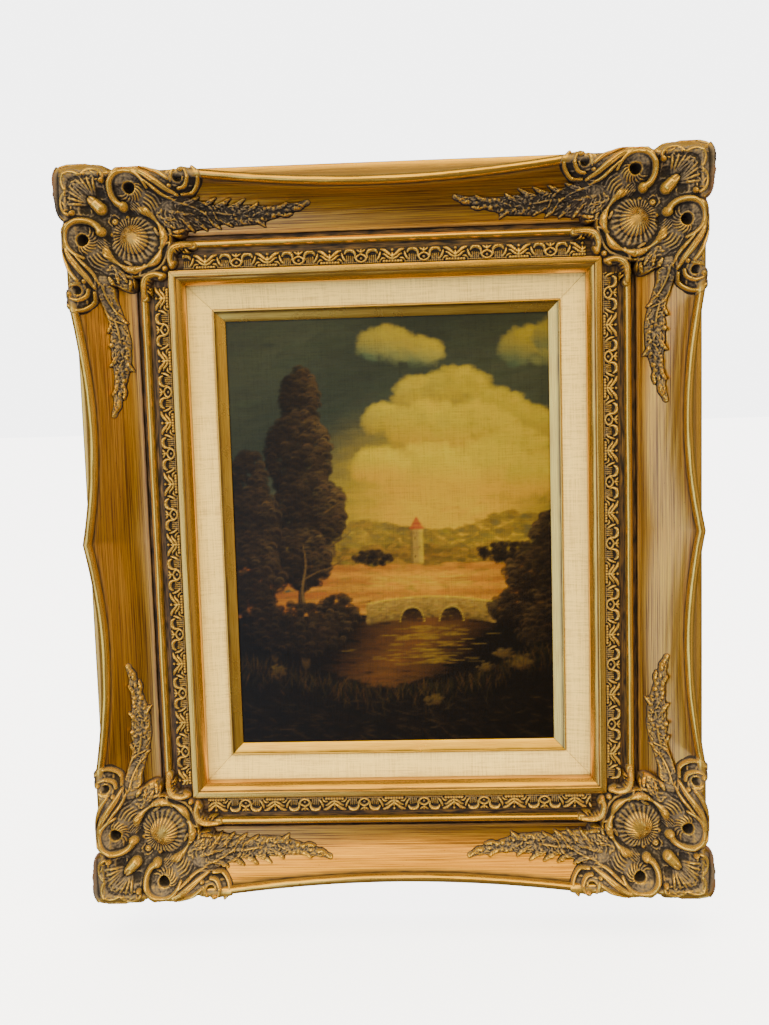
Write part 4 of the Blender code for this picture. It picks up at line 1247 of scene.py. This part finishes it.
def makeCorners(material):
    cell, start = corner["cell"], corner["start"]
    count = int((corner["reach"] - start) / cell) + 1
    relief, outline = carveCorner(count)
    rise, low, pits, keep = shapeCorner(relief, outline)
    tone, wear = toneCorner(relief, outline, rise, pits)
    piece = addGrid("cornerOrnament_top_left", count, count)
    places = np.stack([relief.u - frameSize["halfWidth"], -rise, topEdge - relief.v], axis=-1) * mm
    setPlaces(piece, places.reshape(-1, 3))
    setAttribute(piece, "relief", tone)
    setAttribute(piece, "edgeWear", wear)

    def underside(spots):
        across = (spots[:, 0] / mm + frameSize["halfWidth"] - start) / cell
        down = (topEdge - spots[:, 2] / mm - start) / cell
        at = tuple(np.clip(np.rint(way).astype(int), 0, count - 1) for way in (across, down))
        return -(np.minimum(low[at], rise[at]) - 0.6) * mm

    inside = keep[:-1, :-1] & keep[1:, :-1] & keep[:-1, 1:] & keep[1:, 1:]
    cutAndClose(piece, inside, underside, corner["thinBack"])
    makeActive(piece)
    bpy.ops.object.shade_smooth_by_angle(angle=math.radians(corner["smooth"]))
    for name, mirrorX, mirrorZ in (
        ("top_right", True, False), ("bottom_left", False, True), ("bottom_right", True, True)
    ):
        copy = mirroredCorner(piece, name, mirrorX, mirrorZ)
        finished(copy, f"corner_ornament_{name}", material)
    # painted shade on the sprays under the top rail's lip, on the first casting too
    shiftTone(piece, paintedShadeUnderLip(getPlaces(piece)))
    finished(piece, "corner_ornament_top_left", material)
    print("corners done", len(piece.data.polygons))


makeCorners(antiqueMaterial)


# Canvas, painted with strokes

canvasSheet = {
    "width": 304.8,
    "height": 406.4,
    "rise": 17.0,
    "back": 1.0,
    "thickness": 0.8,
    "turnoverSteps": 4,
    "spacing": 1.18,
    "seed": 11,
    "saturation": 1.40,
    "light": 0.325,
    "varnish": (0.38, 0.42, 0.48),
    "thinBack": 0.04,
    "smooth": 30,
}

# colours on the palette, as linear light
palette = {
    "slate": (0.048, 0.058, 0.040),
    "slateLight": (0.150, 0.165, 0.090),
    "cream": (0.88, 0.66, 0.15),
    "glow": (1.00, 0.54, 0.035),
    "blueHill": (0.090, 0.105, 0.065),
    "oliveHill": (0.110, 0.085, 0.016),
    "meadow": (0.86, 0.45, 0.030),
    "meadowDark": (0.44, 0.17, 0.012),
    "stone": (0.56, 0.37, 0.13),
    "stoneShade": (0.085, 0.045, 0.014),
    "tile": (0.46, 0.045, 0.016),
    "leafDark": (0.0085, 0.0048, 0.0018),
    "leafBrown": (0.030, 0.0155, 0.0060),
    "leafLight": (0.27, 0.165, 0.065),
    "leafGreen": (0.030, 0.024, 0.004),
    "bark": (0.15, 0.085, 0.030),
    "water": (0.22, 0.095, 0.014),
    "waterDark": (0.014, 0.007, 0.0025),
    "earth": (0.0125, 0.0075, 0.0028),
    "reed": (0.17, 0.085, 0.012),
}


class Painter:
    # a picture in wet strokes; u runs across and v down, both measured in picture widths
    def __init__(self, columns, rows, seed):
        self.draw = np.random.default_rng(seed)
        self.columns = columns
        self.tall = rows / columns
        self.u, self.v = np.meshgrid((np.arange(columns) + 0.5) / columns, (np.arange(rows) + 0.5) / columns)
        self.picture = np.where((self.v < 0.80)[..., None], palette["slate"], palette["earth"])

    def tone(self, name, other=None, share=0.0, spread=0.12):
        colour = np.array(palette[name])
        if other:
            colour = colour + (np.array(palette[other]) - colour) * min(1, max(0, share))
        return colour * (1 + spread * self.draw.normal(0, 1)) * (1 + spread * 0.3 * self.draw.normal(0, 1, 3))

    def window(self, u, v, reach):
        low = [max(0, int((middle - reach) * self.columns)) for middle in (v, u)]
        high = [max(0, int((middle + reach) * self.columns) + 2) for middle in (v, u)]
        return slice(low[0], high[0]), slice(low[1], high[1])

    def lay(self, spot, share, colour):
        self.picture[spot] += (colour - self.picture[spot]) * np.clip(share, 0, 1)[..., None]

    def dab(self, u, v, length, width, angle, colour, cover=0.8):
        # one touch of the brush, streaked by its bristles
        spot = self.window(u, v, max(length, width))
        du = self.u[spot] - u
        dv = self.v[spot] - v
        along = (du * math.cos(angle) + dv * math.sin(angle)) / length
        across = (dv * math.cos(angle) - du * math.sin(angle)) / width
        streak = 0.80 + 0.20 * np.sin(across * 8 + u * 900)
        self.lay(spot, np.clip((1 - along**2 - across**2) * 2.0, 0, 1) * cover * streak, colour)

    def crescent(self, u, v, radius, lean, colour, cover=0.7):
        # light caught on the upper edge of a clump
        spot = self.window(u, v, radius)
        du = (self.u[spot] - u) / radius
        dv = (self.v[spot] - v) / radius
        whole = np.clip((1 - du**2 - dv**2) * 4, 0, 1)
        shade = np.clip((1 - (du - lean) ** 2 - (dv - 0.36) ** 2) * 4, 0, 1)
        self.lay(spot, whole * (1 - shade) * cover, colour)

    def line(self, points, widths, name, other=None, cover=0.85):
        path = smoothPath(points, 0.003)
        run = np.gradient(path, axis=0)
        half = np.interp(np.linspace(0, 1, len(path)), np.linspace(0, 1, len(widths)), widths)
        for (u, v), (du, dv), r in zip(path, run, half):
            colour = self.tone(name, other, self.draw.random() * 0.7)
            self.dab(u, v, r * 2, r, math.atan2(dv, du), colour, cover)

    def foliage(self, clumps, count, size, sun, lightest=1.0):
        # clumps are (u, v, half width, half height); leaf dabs overlap like tiles, each with a lit rim
        weight = np.array([c[2] * c[3] for c in clumps])
        chosen = self.draw.choice(len(clumps), count, p=weight / weight.sum())
        spots = []
        for i in chosen:
            u, v, wide, high = clumps[i]
            turn = self.draw.random() * 2 * math.pi
            out = math.sqrt(self.draw.random()) * (0.94 + 0.12 * self.draw.random())
            du, dv = math.cos(turn) * out, math.sin(turn) * out
            lit = 0.45 + 0.45 * (du * sun[0] + dv * sun[1])
            spots.append((v + dv * high, u + du * wide, lit))
        for v, u, lit in sorted(spots):
            r = size * (0.65 + 0.6 * self.draw.random())
            turn = self.draw.normal(0, 0.4)
            self.dab(u, v, r * 1.15, r * 0.9, turn, self.tone("leafDark", "leafBrown", lit * 0.9), 0.85)
            share = np.clip(lit**3 * lightest + 0.14 * self.draw.normal(), 0, 1)
            rim = self.tone("leafBrown", "leafLight", share)
            self.crescent(u, v, r, -0.25 * sun[0], rim, 0.35 + 0.55 * share)

    def cloud(self, puffs, warm):
        # round puffs, lit from the right and fading below
        for u, v, size in puffs:
            for i in range(int(420 * size / 0.08)):
                turn = self.draw.random() * 2 * math.pi
                out = math.sqrt(self.draw.random())
                du, dv = math.cos(turn) * out, math.sin(turn) * out
                lit = 0.55 + 0.35 * (0.5 * du - 0.85 * dv)
                if dv > 0.1 and self.draw.random() < dv * 1.3:
                    continue
                colour = self.tone("slateLight", "cream", lit + warm * 0.3, 0.07)
                colour = colour + (np.array(palette["glow"]) - colour) * warm * np.clip(0.4 + dv, 0, 0.8)
                place = u + du * size, v + dv * size * 0.72
                self.dab(*place, 0.024, 0.012, self.draw.normal(0.2, 0.6), colour, 0.24)


def hump(u, middle, width):
    # a soft hill, 1 in its middle
    return math.exp(-(((u - middle) / width) ** 2))


def paintSky(p):
    # slate above, gold low down on the right, laid in broad strokes
    for i in range(5200):
        u, v = p.draw.random() * 1.04 - 0.02, p.draw.random() * 0.86
        gold = hump(u, 0.66, 0.34) * hump(v, 0.62, 0.24)
        light = 0.25 + 0.9 * gold + 0.2 * math.sin(u * 7 + v * 9)
        colour = p.tone("slate", "slateLight", light, 0.10)
        bright = p.tone("cream", "glow", 0.35 + 0.4 * gold, 0.06)
        colour = colour + (bright - colour) * min(1, max(0, gold * 1.25 - 0.12))
        length = 0.045 + 0.03 * p.draw.random()
        p.dab(u, v, length, 0.012, p.draw.normal(-0.12, 0.2), colour, 0.5 if i > 2200 else 0.95)
    p.cloud([(0.93, 0.13, 0.09), (1.02, 0.10, 0.08), (0.50, 0.11, 0.08), (0.60, 0.13, 0.06)], -0.25)
    heads = [(0.50, 0.33, 0.07), (0.60, 0.26, 0.08), (0.71, 0.25, 0.10), (0.82, 0.31, 0.09),
             (0.91, 0.36, 0.09)]
    p.cloud(heads, 0.25)
    p.cloud([(0.62, 0.36, 0.12), (0.76, 0.38, 0.13), (0.88, 0.45, 0.12)], 0.55)
    p.cloud([(0.80, 0.50, 0.14), (0.62, 0.50, 0.14), (0.95, 0.52, 0.10), (0.47, 0.47, 0.08)], 0.85)


def paintDistance(p):
    # two ranges of hills, a meadow in evening light and a round tower
    for i in range(900):
        u = p.draw.random()
        v = 0.665 - 0.055 * hump(u, 0.88, 0.14) - 0.035 * hump(u, 0.42, 0.12) + p.draw.random() * 0.10
        turn = p.draw.normal(0.1, 0.3)
        p.dab(u, v, 0.020, 0.008, turn, p.tone("blueHill", "glow", 0.10 + 0.25 * p.draw.random()), 0.7)
    for i in range(900):
        u = p.draw.random()
        v = 0.715 + 0.012 * math.sin(u * 9) + p.draw.random() * 0.07
        turn = p.draw.normal(0, 0.2)
        p.dab(u, v, 0.018, 0.008, turn, p.tone("oliveHill", "meadow", 0.5 * p.draw.random()), 0.75)
    for i in range(1800):
        u, v = p.draw.random(), 0.765 + p.draw.random() * 0.15
        light = 0.75 - abs(u - 0.60) * 1.6 + 0.25 * math.sin(v * 160)
        p.dab(u, v, 0.026, 0.006, p.draw.normal(0.04, 0.12), p.tone("meadowDark", "meadow", light), 0.7)
    for i in range(60):
        u = 0.44 + 0.30 * p.draw.random()
        p.dab(u, 0.80 + 0.03 * p.draw.random(), 0.03, 0.0025, 0.03, p.tone("meadow", "cream", 0.5), 0.5)
    p.foliage([(0.44, 0.742, 0.06, 0.022), (0.86, 0.735, 0.10, 0.03)], 260, 0.009, (0.4, -0.9), 0.6)
    for level in np.linspace(0, 1, 26):
        v = 0.655 + 0.105 * level
        p.dab(0.575, v, 0.0215, 0.004, 0, p.tone("stone", "stoneShade", 0.1, 0.08), 0.95)
        p.dab(0.588, v, 0.0085, 0.004, 0, p.tone("stone", "cream", 0.6, 0.08), 0.8)
        p.dab(0.559, v, 0.0060, 0.004, 0, p.tone("stoneShade", "stone", 0.3, 0.08), 0.8)
    for level in np.linspace(0, 1, 16):
        roof = p.tone("tile", "meadow", 0.25)
        p.dab(0.575, 0.622 + 0.034 * level, 0.003 + 0.024 * level, 0.003, 0, roof, 0.95)
    for u, v in ((0.570, 0.685), (0.583, 0.712), (0.570, 0.740)):
        p.dab(u, v, 0.0028, 0.0050, 0, p.tone("stoneShade"), 0.9)


def paintBridge(p):
    # a low stone bridge with two arches, and the stream that runs under it
    bridge = 0.42, 0.80
    for i in range(1500):
        v = 0.925 + p.draw.random() * 0.22
        middle = 0.60 - 0.16 * math.sin((v - 0.92) * 9) * (v - 0.90) * 4
        u = middle + p.draw.normal(0, 0.11 + (v - 0.925) * 0.45)
        light = 0.95 - abs(u - middle) * 4.2 - (v - 0.92) * 0.6
        p.dab(u, v, 0.034, 0.0045, p.draw.normal(0, 0.05), p.tone("waterDark", "water", light), 0.6)
    for i in range(120):
        u, v = 0.60 + p.draw.normal(0, 0.07), 0.955 + p.draw.random() * 0.12
        p.dab(u, v, 0.028, 0.0018, p.draw.normal(0, 0.04), p.tone("water", "cream", 0.35), 0.5)
    for level in np.linspace(0, 1, 22):
        for u in np.linspace(*bridge, 34):
            crown = 0.868 + 0.55 * (u - 0.61) ** 2
            shade = 0.20 + 0.5 * level + 0.15 * p.draw.normal()
            place = u + 0.006 * p.draw.random(), crown + 0.058 * level
            p.dab(*place, 0.010, 0.0040, 0, p.tone("stone", "stoneShade", shade), 0.85)
    for u in np.linspace(*bridge, 60):
        p.dab(u, 0.864 + 0.55 * (u - 0.61) ** 2, 0.008, 0.0026, 0, p.tone("stone", "cream", 0.7), 0.8)
    for middle, wide in ((0.555, 0.034), (0.675, 0.034)):
        for i in range(160):
            du, dv = p.draw.random() * 2 - 1, p.draw.random()
            if du**2 + (1 - dv) ** 2 < 1:
                place = middle + du * wide, 0.898 + 0.042 * dv
                p.dab(*place, 0.009, 0.0035, 0, p.tone("waterDark", "water", 0.3 * dv), 0.8)
        for turn in np.linspace(0, math.pi, 22):
            spot = middle + math.cos(turn) * wide * 1.08, 0.940 - math.sin(turn) * 0.045
            p.dab(*spot, 0.0035, 0.0030, turn, p.tone("stone", "cream", 0.3), 0.8)


def paintTrees(p):
    # two tall trees on the left, and darker growth on both sides
    trunk = [(0.225, 1.06), (0.215, 0.90), (0.235, 0.70), (0.225, 0.50), (0.240, 0.34)]
    p.line(trunk, (0.014, 0.010, 0.007, 0.004), "leafDark", "bark")
    trunk = [(0.130, 1.04), (0.120, 0.86), (0.095, 0.66), (0.105, 0.52)]
    p.line(trunk, (0.012, 0.009, 0.006, 0.003), "leafDark", "bark")
    crown = [(0.235, 0.27, 0.055, 0.10), (0.225, 0.43, 0.095, 0.13), (0.25, 0.60, 0.110, 0.12),
             (0.215, 0.74, 0.10, 0.09)]
    p.foliage(crown, 1500, 0.0150, (0.75, -0.55), 1.0)
    crown = [(0.075, 0.50, 0.05, 0.09), (0.070, 0.63, 0.085, 0.11), (0.060, 0.79, 0.10, 0.13)]
    p.foliage(crown, 900, 0.0145, (0.7, -0.6), 0.7)
    lit = [(0.232, 0.90), (0.222, 0.84), (0.235, 0.76), (0.229, 0.70)]
    p.line(lit, (0.006, 0.004, 0.0015), "bark", "leafLight")
    for branch in (
        [(0.235, 0.80), (0.290, 0.775), (0.352, 0.772)], [(0.300, 0.775), (0.335, 0.755), (0.356, 0.735)],
        [(0.300, 0.60), (0.345, 0.572), (0.372, 0.568)], [(0.315, 0.70), (0.350, 0.682), (0.377, 0.660)],
    ):
        p.line(branch, (0.0036, 0.0020, 0.0010), "bark")
    p.foliage([(0.33, 0.91, 0.06, 0.055), (0.20, 0.96, 0.16, 0.08)], 620, 0.0125, (0.7, -0.6), 0.55)
    bushes = [(0.93, 0.80, 0.085, 0.075), (0.99, 0.70, 0.07, 0.09), (0.86, 0.90, 0.07, 0.05),
              (0.97, 0.95, 0.10, 0.10)]
    p.foliage(bushes, 1100, 0.0135, (-0.8, -0.5), 0.75)


def paintForeground(p):
    # a dark bank with lit stones, grass and reeds
    for i in range(2600):
        u = p.draw.random() * 1.06 - 0.03
        edge = 1.135 - 0.10 * hump(u, 0, 0.26) - 0.13 * hump(u, 1, 0.24) + 0.012 * math.sin(u * 17)
        v = edge + p.draw.random() ** 0.8 * (p.tall - edge)
        turn = p.draw.normal(0.1, 0.4)
        p.dab(u, v, 0.024, 0.008, turn, p.tone("earth", "leafBrown", 0.35 * p.draw.random() ** 2), 0.85)
    stones = ((0.83, 1.045, 0.028), (0.885, 1.075, 0.036), (0.78, 1.085, 0.020), (0.14, 1.085, 0.024),
              (0.62, 1.185, 0.026))
    for u, v, size in stones:
        for i in range(46):
            du, dv = p.draw.normal(0, 0.5), p.draw.normal(0, 0.32)
            lit = 0.42 - 0.7 * dv - 0.25 * du + 0.1 * p.draw.normal()
            colour = p.tone("stoneShade", "stone", lit * 0.30)
            p.dab(u + du * size, v + dv * size, size * 0.34, size * 0.16, -0.25, colour, 0.6)
    for i in range(620):
        u = p.draw.random()
        edge = 1.14 - 0.10 * hump(u, 0, 0.26) - 0.12 * hump(u, 1, 0.24)
        v = edge + abs(p.draw.normal(0, 0.035))
        tall = 0.012 + 0.016 * p.draw.random()
        colour = p.tone("leafGreen", "reed", p.draw.random() ** 2, 0.2)
        p.dab(u, v, tall, 0.0016, -1.57 + p.draw.normal(0, 0.35), colour, 0.55)
    for i in range(260):
        u, v = p.draw.random(), 1.18 + p.draw.random() * 0.13
        turn = p.draw.normal(0.15, 0.3)
        p.dab(u, v, 0.020, 0.0022, turn, p.tone("leafBrown", "leafLight", 0.5 * p.draw.random() ** 2), 0.4)


def paintPicture(columns, rows):
    p = Painter(columns * 2, rows * 2, canvasSheet["seed"])
    paintSky(p)
    paintDistance(p)
    paintBridge(p)
    paintTrees(p)
    paintForeground(p)
    # old varnish, browner towards the edges
    far = np.clip(np.hypot((p.u - 0.5) * 1.15, (p.v / p.tall - 0.5)) * 2 - 0.62, 0, 1)
    p.picture *= 1 - far[..., None] * np.array(canvasSheet["varnish"])
    grey = p.picture.mean(axis=2, keepdims=True)
    p.picture = np.clip(grey + (p.picture - grey) * canvasSheet["saturation"], 0, 1) * canvasSheet["light"]
    return p.picture.reshape(rows, 2, columns, 2, 3).mean(axis=(1, 3))


oilPaint = {
    "threads": 1250,
    "threadLength": 40,
    "rawThread": (0.42, 0.31, 0.19),
    "rawShade": (0.20, 0.13, 0.07),
    "bristles": (260, 260, 900),
    "bristleShare": 0.20,
    "cracks": (210, 210, 210),
    "roughness": (0.88, 0.38),
    "specular": 0.22,
    "bumpStrength": 0.45,
    "bumpDepth": 0.0002,
}


def makeOilPaint():
    # paint where "painted" is 1, raw canvas on the sides and the back
    material, shader, n = newMaterial("varnished oil paint", Specular_IOR_Level=oilPaint["specular"])
    painted = n.attribute("painted")
    threads = n.math("ADD", *weaveNoise(n, oilPaint["threads"], oilPaint["threadLength"]))
    weave = n.ramp(n.math("MULTIPLY", threads, 0.5), [(0.36, 0.0), (0.60, 1.0)])
    picture = n.attribute("painting", "Color")
    worn = n.mix(n.ramp(weave, [(0.0, 0.24), (0.6, 0.0)]), picture, (0.0, 0.0, 0.0))
    bristle = n.noise("Object", oilPaint["bristles"])
    streaks = n.ramp(bristle, [(0.35, 0.55), (0.65, 1.0)])
    colour = n.mix(oilPaint["bristleShare"], worn, streaks, "MULTIPLY")
    raw = n.mix(weave, oilPaint["rawShade"], oilPaint["rawThread"])
    n.put(n.mix(painted, raw, colour), shader.inputs["Base Color"])
    rawRough, paintRough = oilPaint["roughness"]
    n.put(n.math("MULTIPLY_ADD", painted, paintRough - rawRough, rawRough), shader.inputs["Roughness"])
    inputs = {"Vector": n.place("Object", oilPaint["cracks"]), "Scale": 1.0}
    cracks = n.add("ShaderNodeTexVoronoi", inputs, feature="DISTANCE_TO_EDGE").outputs["Distance"]
    crackled = n.ramp(cracks, [(0.0, 0.0), (0.03, 1.0)])
    height = n.math("ADD", n.math("MULTIPLY", weave, 0.7), n.math("MULTIPLY", bristle, 0.5))
    height = n.math("ADD", height, n.math("MULTIPLY", crackled, 0.25))
    n.bump(height, oilPaint["bumpStrength"], oilPaint["bumpDepth"], shader)
    return material


def makeCanvas():
    across = int(canvasSheet["width"] / canvasSheet["spacing"]) + 1
    down = int(canvasSheet["height"] / canvasSheet["spacing"]) + 1
    picture = paintPicture(across, down)
    print("picture painted")
    x = np.linspace(-1, 1, across) * canvasSheet["width"] / 2
    z = frameSize["middle"] + np.linspace(1, -1, down) * canvasSheet["height"] / 2
    x2, z2 = np.meshgrid(x, z)
    piece = addGrid("paintedCanvas", across, down)
    setPlaces(piece, np.stack([x2, -canvasSheet["rise"] + 0 * x2, z2], axis=-1).reshape(-1, 3) * mm)
    layer = piece.data.color_attributes.new("painting", "FLOAT_COLOR", "POINT")
    colours = np.concatenate([picture, np.ones((down, across, 1))], axis=2)
    layer.data.foreach_set("color", colours.astype(np.float32).ravel())
    editMode("SELECT")
    bpy.ops.mesh.flip_normals()
    # the sheet turns over all four edges, and gets its thickness
    bpy.ops.mesh.region_to_loop()
    side = canvasSheet["rise"] - canvasSheet["back"]
    steps = canvasSheet["turnoverSteps"]
    for step in range(steps):
        bpy.ops.mesh.extrude_region_move(TRANSFORM_OT_translate={"value": (0, side / steps * mm, 0)})
    bpy.ops.mesh.select_all(action="SELECT")
    bpy.ops.mesh.normals_make_consistent(inside=False)
    objectMode()
    outerCount = len(piece.data.vertices)
    wall = piece.modifiers.new("wall", "SOLIDIFY")
    wall.thickness = canvasSheet["thickness"] * mm
    wall.offset = -1
    bpy.ops.object.modifier_apply(modifier="wall")
    places = getPlaces(piece)
    painted = np.arange(len(places)) < outerCount
    setAttribute(piece, "painted", painted * (places[:, 1] < -0.5 * side * mm))
    # the back needs few faces
    editMode(kind="VERT")
    bpy.ops.mesh.select_all(action="DESELECT")
    objectMode()
    piece.data.vertices.foreach_set("select", ~painted)
    editMode()
    bpy.ops.mesh.decimate(ratio=canvasSheet["thinBack"])
    objectMode()
    finished(piece, "canvas", makeOilPaint(), canvasSheet["smooth"])
    print("canvas done", len(piece.data.polygons))


makeCanvas()

for side in sides:
    scale = pine["alongX"] if side in ("top", "bottom") else pine["alongZ"]
    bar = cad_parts[f"stretcher_bar_{side}"]
    bar.data.materials.clear()
    bar.data.materials.append(makePine(f"planed pine {side}", scale))
print("stretcher done")


# Floor, light and camera

stage = {
    "floor": -0.66,
    "floorSize": 30,
    "floorGlow": 3.6,
    "floorColour": (0.92, 0.92, 0.92),
    "camera": (0.0432, -1.0728, -0.1553),
    "turn": (83.977, 1.680, 2.502),
    "lens": 40.39,
    "backdrop": (5.0, 5.0, 5.0),
    "inGold": (0.080, 0.062, 0.030),
    "fromBelow": (0.24, 0.22, 0.20),
    "fromAbove": (3.25, 3.05, 2.85),
}

# all of them aim at the middle of the picture; places and sizes in metres
lights = {
    "softbox": {"place": (0.1, -1.9, 1.9), "size": (4.2, 2.4), "power": 78, "colour": (1.0, 0.76, 0.07)},
    "lowSoftbox": {"place": (0.1, -2.3, 0.86), "size": (3.6, 1.1), "power": 16, "colour": (1.0, 0.70, 0.08)},
    "leftWindow": {"place": (-1.0, -1.55, -0.42), "size": (1.5, 2.0), "power": 20,
                   "colour": (0.52, 0.72, 1.0)},
    "rightRoom": {"place": (1.6, -1.3, -0.20), "size": (1.4, 1.8), "power": 2.6, "colour": (1.0, 0.80, 0.50)},
}

deselectAll()
bpy.ops.mesh.primitive_plane_add(size=stage["floorSize"], location=(0, 0, stage["floor"]))
floor = bpy.context.object
floor.name = "floor"
floorMaterial = newMaterial(
    "pale floor", Roughness=0.9, Base_Color=stage["floorColour"], Emission_Color=(1.0, 1.0, 1.0),
    Emission_Strength=stage["floorGlow"],
)[0]
floor.data.materials.append(floorMaterial)
floor.visible_glossy = False
floor.visible_diffuse = False
floor.visible_shadow = False


def addLight(name, place, size, power, colour):
    deselectAll()
    bpy.ops.object.light_add(type="AREA", location=place)
    lamp = bpy.context.object
    lamp.name = lamp.data.name = name
    aim = Vector((0, 0, frameSize["middle"] * mm)) - Vector(place)
    lamp.rotation_euler = aim.to_track_quat("-Z", "Y").to_euler()
    lamp.data.shape = "RECTANGLE"
    lamp.data.size, lamp.data.size_y = size
    lamp.data.energy = power
    lamp.data.color = colour


for name, light in lights.items():
    addLight(name, **light)

# white to look at, soft and stronger from above on matt surfaces, dim in the gold as in a room with few lamps
world = bpy.data.worlds.new("studio")
bpy.context.scene.world = world
world.use_nodes = True
n = Nodes(world)
ray = n.add("ShaderNodeLightPath").outputs
direction = n.add("ShaderNodeTexCoord").outputs["Generated"]
upward = n.add("ShaderNodeSeparateXYZ", {0: direction}).outputs["Z"]
height = n.add("ShaderNodeMapRange", {"Value": upward, "From Min": -1}).outputs[0]
matt = n.mix(height, stage["fromBelow"], stage["fromAbove"])
soft = n.mix(ray["Is Glossy Ray"], matt, stage["inGold"])
colour = n.mix(ray["Is Camera Ray"], soft, stage["backdrop"])
n.put(colour, world.node_tree.nodes["Background"].inputs["Color"])

cameraData = bpy.data.cameras.new("camera")
camera = bpy.data.objects.new("camera", cameraData)
bpy.context.collection.objects.link(camera)
cameraData.sensor_fit = "VERTICAL"
cameraData.sensor_height = 36
cameraData.lens = stage["lens"]
cameraData.clip_start = 0.01
camera.location = stage["camera"]
camera.rotation_euler = [math.radians(angle) for angle in stage["turn"]]
bpy.context.scene.camera = camera
print("stage done")
